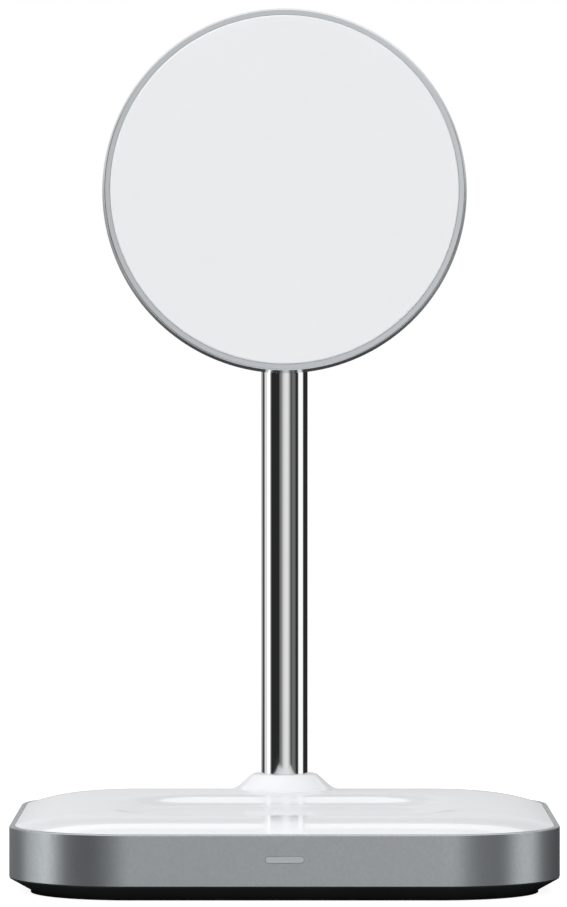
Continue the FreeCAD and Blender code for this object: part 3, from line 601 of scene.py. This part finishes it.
def smooth_copy(node: str, name: str) -> Object:
    """Copy a node's mesh with its loose triangles merged and its rounds shaded smooth.

    Args:
        node: Name of the node.
        name: Name of the new piece.

    Returns:
        The new piece.
    """
    mesh = frame["nodes"][node].data.copy()
    mesh.name = name
    work = bmesh.new()
    work.from_mesh(mesh)
    bmesh.ops.remove_doubles(work, verts=work.verts, dist=COPY_MERGE_GAP)
    bmesh.ops.dissolve_limit(work, angle_limit=COPY_FLAT_ANGLE, verts=work.verts, edges=work.edges)
    bmesh.ops.triangulate(work, faces=[face for face in work.faces if len(face.verts) > 4])
    mark_sharp(work)
    work.to_mesh(mesh)
    work.free()
    return even_normals(new_object(name, mesh))


@dataclass
class Base:
    """The square base: metal band, white deck with its dish and collar, black foot."""

    half: tuple[float, float] = (45.0, 42.25)
    corner: float = 20.0
    band_low: float = 2.55
    rim_top: float = 10.85
    band_wall: float = 2.0
    band_round: float = 0.25
    band_low_round: float = 0.05
    rim_width: float = 0.9
    rabbet: float = 1.2
    deck_gap: float = 0.05
    deck_rise: float = 2.0
    deck_slope: float = 18.0
    deck_round_share: float = 0.9
    dish_half: tuple[float, float] = (27.5, 21.5)
    dish_corner: float = 13.5
    dish_centre: float = -4.2
    dish_sink: float = 1.5
    dish_slope: float = 15.0
    dish_top_share: float = 0.45
    dish_low_share: float = 0.45
    stem_y: float = STEM_Y
    stem_hole: float = 4.05
    collar_top: float = 5.56
    collar_foot: float = 8.6
    collar_height: float = 2.75
    collar_blend: float = 1.0
    collar_edge: float = 0.3
    window: tuple[float, float, float] = (6.3, 1.17, 6.85)
    port: tuple[float, float, float] = (9.3, 3.52, 6.75)
    corner_steps: int = 40
    low_round_steps: int = 3
    round_steps: int = 5
    cutter_reach: float = 1.5
    deck_turns: int = 520
    collar_rows: tuple[float, int] = (6.2, 9)
    foot_rows: tuple[float, float, int] = (6.45, 12.0, 22)
    outer_rows: int = 107
    search_span: float = 4.0
    halvings: int = 60

    def outline(self, inset: float) -> Profile:
        """Points round the base's plan, set in by a distance."""
        reach_x, reach_y = (half - self.corner for half in self.half)
        radius = self.corner - inset
        points: Profile = []
        for turn, (side_x, side_y) in enumerate(((1, 1), (-1, 1), (-1, -1), (1, -1))):
            points += arc((side_x * reach_x, side_y * reach_y), radius, 90 * turn, 90 * turn + 90,
                          self.corner_steps)
        return points

    def build(self, wardrobe: Wardrobe) -> None:
        """Make and dress the base's visible pieces."""
        adopt(self.make_band(), BodyName.STAND, "band_metal", wardrobe, ["base_band"])
        adopt(self.make_deck(), BodyName.STAND, "deck_white", wardrobe, ["top_deck"])
        for node, name, slot in (("bottom_plate", "skirt_plate", "bottom_black"),
                                 ("foot_pad", "rubber_foot", "pad_rubber"),
                                 ("led_window", "light_window", "window_clear"),
                                 ("usb_socket_shell", "socket_shell", "steel")):
            adopt(smooth_copy(node, name), BodyName.STAND, slot, wardrobe, [node])

    def make_band(self) -> Object:
        """Make the metal band with its window and port holes."""
        low = self.band_low
        top = self.rim_top
        soft = self.band_round
        crisp = self.band_low_round
        section = arc((crisp, low + crisp), crisp, 270, 180, self.low_round_steps)
        section += arc((soft, top - soft), soft, 180, 90, self.round_steps)
        section += [(self.rim_width, top), (self.rim_width, top - self.rabbet),
                    (self.band_wall, top - self.rabbet), (self.band_wall, low)]
        points: list[Point] = []
        for inset, height in section:
            points += [(x, y, height) for x, y in self.outline(inset)]
        band = ring_skin("metal_band", points, len(section))
        cutters = []
        reach = self.cutter_reach * self.band_wall
        for (width, height, z), y in ((self.window, -self.half[1]), (self.port, self.half[1])):
            spots = pill_outline(width, height)
            cutters.append(prism("cutter", spots, lambda along, x, up, z=z: (x, along, z + up),
                                 y - reach, y + reach))
        carve(band, cutters)
        return even_normals(band)

    def edge_height(self, depth: np.ndarray) -> np.ndarray:
        """Height of the deck over its rim by the distance from its edge.

        Args:
            depth: Distances inwards from the deck's edge.

        Returns:
            Heights over the rim: a slope, a wide round and the flat top.
        """
        angle = math.radians(self.deck_slope)
        radius = self.deck_round_share * self.deck_rise / (1 - math.cos(angle))
        shoulder = self.deck_rise / math.tan(angle)
        stop = shoulder + radius * math.tan(angle / 2)
        start = stop - radius * math.sin(angle)
        sag = np.clip(stop - depth, 0, radius)
        bend = self.deck_rise - radius + np.sqrt(radius ** 2 - sag ** 2)
        inner = np.where(depth > stop, self.deck_rise, bend)
        return np.where(depth < start, depth * math.tan(angle), inner)

    def dish_depth(self, depth: np.ndarray) -> np.ndarray:
        """Depth of the dish by the distance inside its outline.

        Args:
            depth: Distances inwards from the dish's outline; negative outside it.

        Returns:
            Depths under the deck: a round, a straight wall and a wide round at the floor.
        """
        angle = math.radians(self.dish_slope)
        wall = self.dish_sink / math.sin(angle)
        run = self.dish_sink / math.tan(angle)
        top = wall * self.dish_top_share / math.tan(angle / 2)
        low = wall * self.dish_low_share / math.tan(angle / 2)
        top_start = -wall * self.dish_top_share
        top_stop = top_start + top * math.sin(angle)
        low_stop = run + wall * self.dish_low_share
        low_start = low_stop - low * math.sin(angle)
        lead = np.clip(depth - top_start, 0, top * math.sin(angle))
        first = top - np.sqrt(top ** 2 - lead ** 2)
        trail = np.clip(low_stop - depth, 0, low * math.sin(angle))
        last = self.dish_sink - (low - np.sqrt(low ** 2 - trail ** 2))
        middle = depth * math.tan(angle)
        return np.where(depth < top_stop, first, np.where(depth > low_start, last, middle))

    @staticmethod
    def inward(x: np.ndarray, y: np.ndarray, half_x: float, half_y: float,
               corner: float) -> np.ndarray:
        """Distance inwards from a rectangle with round corners; negative outside it."""
        away_x = np.abs(x) - (half_x - corner)
        away_y = np.abs(y) - (half_y - corner)
        outer = np.hypot(np.maximum(away_x, 0), np.maximum(away_y, 0))
        return corner - outer - np.minimum(np.maximum(away_x, away_y), 0)

    def deck_inward(self, x: np.ndarray, y: np.ndarray) -> np.ndarray:
        """Distance inwards from the deck's edge; negative outside it."""
        inset = self.rim_width + self.deck_gap
        return self.inward(x, y, self.half[0] - inset, self.half[1] - inset, self.corner - inset)

    def deck_height(self, x: np.ndarray, y: np.ndarray) -> np.ndarray:
        """Height of the deck's top surface over the table."""
        height = self.rim_top + self.edge_height(self.deck_inward(x, y))
        height = height - self.dish_depth(
            self.inward(x, y - self.dish_centre, *self.dish_half, self.dish_corner))
        deck_top = self.rim_top + self.deck_rise
        radius = np.hypot(x, y - self.stem_y)
        lean = self.collar_height / (self.collar_foot - self.collar_top)
        cone = deck_top + self.collar_height - (radius - self.collar_top) * lean
        return np.maximum(cone, height) + self.fillet(cone - height, self.collar_blend)

    def collar_cap(self, height: np.ndarray) -> np.ndarray:
        """Cut the collar's cone off level at its top with a small round edge."""
        top = self.rim_top + self.deck_rise + self.collar_height
        return np.minimum(height, top) - self.fillet(height - top, self.collar_edge)

    @staticmethod
    def fillet(apart: np.ndarray, reach: float) -> np.ndarray:
        """What a round adds where two surfaces cross, by how far apart they are."""
        gap = np.maximum(reach - np.abs(apart), 0) / reach
        return gap ** 2 * reach / 4

    def around_stem(self, radius: np.ndarray, angles: np.ndarray) -> tuple[np.ndarray, np.ndarray]:
        """Places at distances from the stem's middle in each direction."""
        return radius * np.cos(angles), self.stem_y + radius * np.sin(angles)

    def make_deck(self) -> Object:
        """Make the white deck as one skin round the stem's hole."""
        angles = np.linspace(0, 2 * math.pi, self.deck_turns, endpoint=False)
        reach = self.edge_reach(angles)
        rim, rim_count = self.collar_rows
        foot, wide, foot_count = self.foot_rows
        near = np.concatenate([np.linspace(self.stem_hole, rim, rim_count),
                               np.linspace(foot, wide, foot_count)])
        share = np.linspace(0, 1, self.outer_rows + 1)[1:]
        rows = [np.minimum(np.full_like(angles, radius), reach) for radius in near]
        rows += [wide + (reach - wide) * part for part in share]
        points: list[Point] = []
        for row, radius in enumerate(rows):
            x, y = self.around_stem(radius, angles)
            height = self.collar_cap(self.deck_height(x, y))
            if row == len(rows) - 1:
                height = np.full_like(angles, self.rim_top)
            points += list(zip(x, y, height))
        under = self.rim_top - self.rabbet
        for radius in (rows[-1], rows[0]):
            x, y = self.around_stem(radius, angles)
            points += list(zip(x, y, np.full_like(angles, under)))
        return ring_skin("white_deck", points, len(points) // self.deck_turns)

    def edge_reach(self, angles: np.ndarray) -> np.ndarray:
        """Distance from the stem to the deck's edge in each direction, by halving."""
        low = np.zeros_like(angles)
        high = np.full_like(angles, self.search_span * max(self.half))
        for _ in range(self.halvings):
            middle = (low + high) / 2
            inside = self.deck_inward(*self.around_stem(middle, angles)) > 0
            low = np.where(inside, middle, low)
            high = np.where(inside, high, middle)
        return (low + high) / 2


@dataclass
class SocketContacts:
    """Two rows of contact blades on the supply socket's tongue, laid out by geometry nodes."""

    count: int = 12
    pitch: float = 0.5
    width: float = 0.28
    length: float = 3.5
    thick: float = 0.05
    bury: float = 0.01
    corner: float = 0.1
    corner_steps: int = 3
    tongue_thick: float = 0.7
    tip_gap: float = 0.35

    def build(self, wardrobe: Wardrobe) -> None:
        """Make both rows as one plain mesh and dress it."""
        low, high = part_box("usb_socket_tongue")
        middle = Vector(((low[0] + high[0]) / 2, high[1] - (self.tip_gap + self.length / 2) * MM,
                         (low[2] + high[2]) / 2))
        values = {"Count": self.count, "Pitch": self.pitch * MM, "Width": self.width * MM,
                  "Length": self.length * MM, "Thickness": (self.thick + self.bury) * MM,
                  "Corner": self.corner * MM, "Rise": (self.tongue_thick / 2 - self.bury) * MM,
                  "Middle": tuple(middle)}
        tree = self.make_tree(wardrobe.materials["steel"])
        contacts = new_object("socket_contacts", bpy.data.meshes.new("carrier"))
        rows = contacts.modifiers.new("rows", "NODES")
        rows.node_group = tree
        for item in tree.interface.items_tree:
            if item.in_out == "INPUT" and item.name in values:
                rows[item.identifier] = values[item.name]
        apply_modifiers(contacts)
        contacts.data.name = "socket_contacts"
        adopt(contacts, BodyName.STAND, "steel", wardrobe)

    def make_tree(self, material: Material) -> NodeTree:
        """Make the node tree: a flat blade with round corners, in a row on each side of the tongue.

        Args:
            material: Material of the blades.

        Returns:
            The tree, with a named input for each size.
        """
        tree = bpy.data.node_groups.new("contact_rows", "GeometryNodeTree")
        tree.interface.new_socket("Geometry", in_out="INPUT", socket_type="NodeSocketGeometry")
        tree.interface.new_socket("Count", in_out="INPUT", socket_type="NodeSocketInt")
        for label in ("Pitch", "Width", "Length", "Thickness", "Corner", "Rise"):
            tree.interface.new_socket(label, in_out="INPUT", socket_type="NodeSocketFloat")
        tree.interface.new_socket("Middle", in_out="INPUT", socket_type="NodeSocketVector")
        tree.interface.new_socket("Geometry", in_out="OUTPUT", socket_type="NodeSocketGeometry")
        size = tree.nodes.new("NodeGroupInput").outputs
        leave = tree.nodes.new("NodeGroupOutput")

        def add(kind: str, **inputs: object) -> Node:
            """Add a node named without its prefix and feed its inputs."""
            return add_node(tree, "GeometryNode" + kind, **inputs)

        plan = add("CurvePrimitiveQuadrilateral", Width=size["Width"], Height=size["Length"])
        soft = add("FilletCurve", Curve=plan.outputs["Curve"], Radius=size["Corner"])
        soft.mode = "POLY"
        soft.inputs["Count"].default_value = self.corner_steps
        flat = add("FillCurve", Curve=soft.outputs["Curve"])
        flat.mode = "NGONS"
        raised = add("ExtrudeMesh", Mesh=flat.outputs["Mesh"], Offset_Scale=size["Thickness"])
        under = add("FlipFaces", Mesh=flat.outputs["Mesh"])
        closed = add("JoinGeometry")
        tree.links.new(raised.outputs["Mesh"], closed.inputs["Geometry"])
        tree.links.new(under.outputs["Mesh"], closed.inputs["Geometry"])
        blade = add("MergeByDistance", Geometry=closed.outputs["Geometry"], Distance=MERGE_GAP)
        gaps = add_math(tree, "SUBTRACT", size["Count"], 1.0)
        run = add_math(tree, "MULTIPLY", gaps, size["Pitch"])
        half_run = add_math(tree, "MULTIPLY", run, -0.5)
        start = add_node(tree, "ShaderNodeCombineXYZ", X=half_run, Z=size["Rise"])
        step = add_node(tree, "ShaderNodeCombineXYZ", X=size["Pitch"])
        line = add("MeshLine", Count=size["Count"], Start_Location=start.outputs[0],
                   Offset=step.outputs[0])
        row = add("InstanceOnPoints", Points=line.outputs["Mesh"],
                  Instance=blade.outputs["Geometry"])
        other = add("Transform", Geometry=row.outputs["Instances"],
                    Rotation=(0.0, math.pi, 0.0))
        both = add("JoinGeometry")
        tree.links.new(row.outputs["Instances"], both.inputs["Geometry"])
        tree.links.new(other.outputs["Geometry"], both.inputs["Geometry"])
        placed = add("Transform", Geometry=both.outputs["Geometry"], Translation=size["Middle"])
        solid = add("RealizeInstances", Geometry=placed.outputs["Geometry"])
        dressed = add("SetMaterial", Geometry=solid.outputs["Geometry"], Material=material)
        tree.links.new(dressed.outputs["Geometry"], leave.inputs["Geometry"])
        return tree


@dataclass
class Stem:
    """The chrome stem and the hinge eye on top of it."""

    centre_y: float = STEM_Y
    radius: float = 4.0
    wall: float = 0.8
    low: float = 7.65
    high: float = 109.8
    edge: float = 0.15
    edge_steps: int = 4
    rings: int = 8

    def build(self, wardrobe: Wardrobe) -> None:
        """Make and dress the stem's visible pieces."""
        inner = self.radius - self.wall
        profile = [(inner, self.low), (self.radius, self.low)]
        straight = (self.high - self.edge - self.low) / self.rings
        profile += [(self.radius, self.low + straight * step) for step in range(1, self.rings)]
        corner = (self.radius - self.edge, self.high - self.edge)
        profile += arc(corner, self.edge, 0, 90, self.edge_steps)
        profile += [(inner, self.high)]
        mesh = turned("chrome_stem", profile, lambda up, x, y: (x, self.centre_y + y, up))
        stem = even_normals(new_object("chrome_stem", mesh))
        adopt(stem, BodyName.STAND, "stem_chrome", wardrobe, ["stem_tube"])
        adopt(smooth_copy("pivot_eye", "hinge_eye"), BodyName.STAND, "stem_chrome", wardrobe,
              ["pivot_eye"])


@dataclass
class Head:
    """The round head: metal housing, white face and the hinge's ears and caps."""

    pivot: tuple[float, float] = (STEM_Y, 115.7)
    back: float = 5.5
    front: float = 16.5
    wall: float = 2.0
    radius: float = 30.6
    flare: float = 0.7
    back_round: float = 2.5
    front_round: float = 0.25
    inner: float = 28.6
    seat: float = 29.6
    seat_depth: float = 1.2
    face_radius: float = 29.55
    face_proud: float = 0.3
    face_round: float = 0.3
    ear_middle: float = 4.75
    ear_slot: tuple[float, float] = (2.6, 9.3)
    ear_radius: float = 4.6
    cap_span: tuple[float, float] = (6.0, 9.6)
    cap_round: float = 0.9
    cut_over: float = 1.0
    segments: int = 240
    back_steps: int = 16
    front_steps: int = 8
    face_steps: int = 6
    face_ring_share: float = 0.6
    cap_steps: int = 28
    cap_round_steps: int = 7

    def at(self, along: float, x: float, up: float) -> Point:
        """Point at a distance in front of the pivot, across and up from it."""
        return (x, self.pivot[0] - along, self.pivot[1] + up)

    def side(self) -> Profile:
        """Profile of the outer wall from back to front: a slight flare between two rounds."""
        lean = math.atan2(self.flare, self.front - self.back)
        tilt = math.degrees(lean)
        back = self.back_round
        front = self.front_round
        back_reach = back * math.tan(math.pi / 4 + lean / 2)
        front_reach = front * math.tan(math.pi / 4 - lean / 2)
        back_centre = (self.radius + self.flare - back_reach, self.back + back)
        front_centre = (self.radius - front_reach, self.front - front)
        return (arc(back_centre, back, -90, tilt, self.back_steps)
                + arc(front_centre, front, tilt, 90, self.front_steps))

    def build(self, wardrobe: Wardrobe) -> None:
        """Make and dress the head's visible pieces."""
        adopt(self.make_housing(), BodyName.HEAD, "head_metal", wardrobe, ["head_housing"])
        adopt(self.make_face(), BodyName.HEAD, "face_white", wardrobe, ["head_face"])
        adopt(smooth_copy("hinge_bracket", "hinge_ears"), BodyName.HEAD, "head_metal", wardrobe,
              ["hinge_bracket"])
        adopt(self.make_caps(), BodyName.HEAD, "cap_grey", wardrobe, ["hinge_caps"])

    def make_housing(self) -> Object:
        """Make the metal cup with the slots for the ears."""
        floor = self.back + self.wall
        ledge = self.front - self.seat_depth
        profile = [(0.0, self.back)] + self.side()
        profile += [(self.seat, self.front), (self.seat, ledge), (self.inner, ledge),
                    (self.inner, floor), (0.0, floor)]
        cup = turned("head_cup", profile, self.at, self.segments, closed=False)
        housing = new_object("head_cup", cup)
        width, tall = (size / 2 for size in self.ear_slot)
        slot = [(-width, -tall), (width, -tall), (width, tall), (-width, tall)]
        cutters = []
        for sign in (-1, 1):
            spots = [(x + sign * self.ear_middle, up) for x, up in slot]
            cutters.append(prism("cutter", spots, self.at, self.back - self.cut_over,
                                 floor + self.cut_over))
        carve(housing, cutters)
        return even_normals(housing)

    def make_face(self) -> Object:
        """Make the white face disc with its rounded edge."""
        low = self.front - self.seat_depth
        high = self.front + self.face_proud
        soft = self.face_round
        rim = arc((self.face_radius - soft, high - soft), soft, 0, 90, self.face_steps)
        profile = [(0.0, low), (self.face_radius, low)] + rim
        profile += [(self.face_radius * self.face_ring_share, high), (0.0, high)]
        disc = turned("face_disc", profile, self.at, self.segments, closed=False)
        return even_normals(new_object("face_disc", disc))

    def cap_outline(self, inset: float) -> Profile:
        """Outline of a hinge cap, round about the pivot and straight to the housing."""
        radius = self.ear_radius - inset
        rear = [(-along, up) for along, up in arc((0, 0), radius, 90, -90, self.cap_steps)]
        return [(self.back, radius)] + rear + [(self.back, -radius)]

    def make_caps(self) -> Object:
        """Make the two hinge caps with soft outer edges."""
        low, high = self.cap_span
        soft = self.cap_round
        stations = [(0.0, low)] + [(soft - across, high - soft + along) for across, along
                                   in arc((0, 0), soft, 0, 90, self.cap_round_steps)]
        points: list[Point] = []
        faces: list[Sequence[int]] = []
        for sign in (-1, 1):
            start = len(points)
            for inset, x in stations:
                points += [self.at(along, sign * x, up) for along, up in self.cap_outline(inset)]
            count = (len(points) - start) // len(stations)
            last = len(points) - count
            faces += [tuple(range(start, start + count)), tuple(range(last, last + count))]
            for row in range(len(stations) - 1):
                faces += loop_faces(start + row * count, start + (row + 1) * count, count)
        return even_normals(new_object("pivot_caps", mesh_from("pivot_caps", points, faces)))


@dataclass(frozen=True)
class SoftBox:
    """An upright panel of light round the stand, by its direction seen from it."""

    bearing: float
    half_width: float
    soft: float
    strength: float


@dataclass(frozen=True)
class Strip:
    """A soft box of limited height that only reflections show, by the sines of its elevations."""

    box: SoftBox
    start: float
    full: float
    fade: float
    stop: float


@dataclass(frozen=True)
class FillLight:
    """A square area light that reflections leave out; places in metres, power in watts."""

    name: str
    place: Point
    size: float
    power: float
    aim: Point = (0.0, 0.0, 0.0)


@dataclass
class Studio:
    """White floor, soft boxes, fill lights and the camera."""

    boxes: tuple[SoftBox, ...] = (
        SoftBox(-95, 16, 12, 0.76),
        SoftBox(-86, 3, 6, 0.9),
        SoftBox(-14, 6, 8, 0.17),
        SoftBox(9, 5, 22, 0.75),
        SoftBox(46, 4, 12, 0.13),
        SoftBox(89, 12, 8, 1.0),
    )
    strips: tuple[Strip, ...] = (
        Strip(SoftBox(180, 60, 25, 0.36), 0.01, 0.06, 0.14, 0.45),
        Strip(SoftBox(180, 40, 30, 1.35), 0.43, 0.47, 0.54, 0.60),
        Strip(SoftBox(0, 100, 20, 0.55), 0.34, 0.44, 1.2, 1.3),
        Strip(SoftBox(-165, 18, 20, 0.36), -0.10, -0.05, 0.14, 0.40),
        Strip(SoftBox(180, 70, 40, 0.28), -1.2, -1.1, -0.46, -0.34),
    )
    fills: tuple[FillLight, ...] = (
        FillLight("front_fill", (0.15, -1.6, 0.2), 1.6, 24.0, (0.0, 0.0, 0.09)),
        FillLight("left_fill", (-1.4, -0.1, 0.4), 0.8, 4.0),
        FillLight("top_fill", (-0.3, 0.05, 1.5), 1.4, 3.9),
    )
    low_fade: tuple[float, float] = (-0.35, -0.12)
    ambient: float = 0.022
    floor_shine: tuple[float, float, float, float] = (-0.20, -0.42, 0.07, 0.80)
    high_light: tuple[float, float, float] = (0.35, 0.8, 0.7)
    lens: float = 226.6
    sensor: float = 36.0
    camera_place: Point = (-0.17, -954.55, 86.33)
    camera_drop: float = 0.908
    floor_half: float = 6.0
    floor_glow: float = 0.9
    floor_tone: float = 0.35
    floor_roughness: float = 0.9
    tree: NodeTree = field(init=False, repr=False)

    def build(self) -> None:
        """Set up everything that isn't part of the stand."""
        self.make_world()
        self.make_floor()
        for fill in self.fills:
            self.make_light(fill)
        self.make_camera()
        view = bpy.context.scene.view_settings
        view.view_transform = "Standard"
        view.look = "None"

    def make_world(self) -> None:
        """Light the scene by soft boxes, which the camera sees only in reflections."""
        world = bpy.data.worlds.new("studio")
        bpy.context.scene.world = world
        world.use_nodes = True
        tree = world.node_tree
        tree.nodes.clear()
        self.tree = tree
        toward = tree.nodes.new("ShaderNodeTexCoord").outputs["Generated"]
        parts = tree.nodes.new("ShaderNodeSeparateXYZ")
        tree.links.new(toward, parts.inputs[0])
        ahead = self.math("MULTIPLY", parts.outputs["Y"], -1.0)
        bearing = self.math("ARCTAN2", parts.outputs["X"], ahead)
        height = parts.outputs["Z"]
        stripes = self.panel(bearing, self.boxes[0])
        for box in self.boxes[1:]:
            stripes = self.math("ADD", stripes, self.panel(bearing, box))
        level = self.math("MULTIPLY", stripes, self.step(height, *self.low_fade))
        start, stop, strength = self.high_light
        overhead = self.math("MULTIPLY", self.step(height, start, stop), strength)
        light = self.math("ADD", self.math("MAXIMUM", level, overhead), self.ambient)
        path = tree.nodes.new("ShaderNodeLightPath")
        start, stop, plain_part, striped_part = self.floor_shine
        mirrored = self.math("ADD", self.math("MULTIPLY", stripes, striped_part), plain_part)
        mirrored = self.math("MULTIPLY", mirrored, self.step(height, start, stop))
        for strip in self.strips:
            glow = self.math("MULTIPLY", self.step(height, strip.start, strip.full),
                             self.step(height, strip.stop, strip.fade))
            glow = self.math("MULTIPLY", glow, self.panel(bearing, strip.box))
            mirrored = self.math("ADD", mirrored, glow)
        mirrored = self.math("MULTIPLY", mirrored, path.outputs["Is Glossy Ray"])
        light = self.math("ADD", light, mirrored)
        studio, plain = (add_node(tree, "ShaderNodeBackground", Color=WHITE, Strength=strength)
                         for strength in (light, 1.0))
        mix = tree.nodes.new("ShaderNodeMixShader")
        tree.links.new(path.outputs["Is Camera Ray"], mix.inputs[0])
        tree.links.new(studio.outputs[0], mix.inputs[1])
        tree.links.new(plain.outputs[0], mix.inputs[2])
        add_node(tree, "ShaderNodeOutputWorld", Surface=mix.outputs[0])

    def math(self, operation: str, *values: object) -> NodeSocket:
        """Add a math node to the world and return its result."""
        return add_math(self.tree, operation, *values)

    def step(self, value: NodeSocket, start: float, stop: float) -> NodeSocket:
        """Add a soft step from 0 to 1 to the world."""
        return add_soft_step(self.tree, value, start, stop)

    def panel(self, bearing: NodeSocket, box: SoftBox) -> NodeSocket:
        """Add one soft box: full strength inside its width, fading over its soft edge."""
        turned_to = self.math("SUBTRACT", bearing, math.radians(box.bearing))
        wrapped = self.math("WRAP", turned_to, math.pi, -math.pi)
        away = self.math("ABSOLUTE", wrapped)
        inside = self.step(away, math.radians(box.half_width + box.soft),
                           math.radians(box.half_width))
        return self.math("MULTIPLY", inside, box.strength)

    def make_floor(self) -> None:
        """Make the pale floor, which the camera sees lit evenly and which reflections leave out."""
        half = self.floor_half
        mesh = bpy.data.meshes.new("floor")
        corners = [(-half, -half, 0), (half, -half, 0), (half, half, 0), (-half, half, 0)]
        mesh.from_pydata(corners, [], [(0, 1, 2, 3)])
        floor = new_object("floor", mesh)
        material = bpy.data.materials.new("floor_paper")
        material.use_nodes = True
        tree = material.node_tree
        tone = self.floor_tone
        seen = tree.nodes.new("ShaderNodeLightPath").outputs["Is Camera Ray"]
        fill_inputs(tree, tree.nodes["Principled BSDF"], Base_Color=(tone, tone, tone, 1.0),
                    Roughness=self.floor_roughness, Specular_IOR_Level=0.0, Emission_Color=WHITE,
                    Emission_Strength=add_math(tree, "MULTIPLY", seen, self.floor_glow))
        mesh.materials.append(material)
        floor.visible_glossy = False

    @staticmethod
    def make_light(fill: FillLight) -> None:
        """Make one fill light."""
        lamp = bpy.data.lights.new(fill.name, "AREA")
        lamp.size = fill.size
        lamp.energy = fill.power
        thing = bpy.data.objects.new(fill.name, lamp)
        thing.location = fill.place
        aim = Vector(fill.aim) - Vector(fill.place)
        thing.rotation_euler = aim.to_track_quat("-Z", "Y").to_euler()
        thing.visible_glossy = False
        bpy.context.scene.collection.objects.link(thing)

    def make_camera(self) -> None:
        """Make the camera at the photograph's place."""
        lens = bpy.data.cameras.new("camera")
        lens.lens = self.lens
        lens.sensor_width = self.sensor
        lens.sensor_fit = "AUTO"
        camera = bpy.data.objects.new("camera", lens)
        camera.location = [value * MM for value in self.camera_place]
        camera.rotation_euler = (math.radians(90 - self.camera_drop), 0, 0)
        bpy.context.scene.collection.objects.link(camera)
        bpy.context.scene.camera = camera


def main() -> None:
    """Build the stand's pieces in order, then the studio round them."""
    logging.basicConfig(level=logging.INFO, format="%(name)s: %(message)s")
    wardrobe = Wardrobe.build()
    wardrobe.dress_nodes()
    Base().build(wardrobe)
    SocketContacts().build(wardrobe)
    Stem().build(wardrobe)
    Head().build(wardrobe)
    Studio().build()


if __name__ == "__main__":
    main()
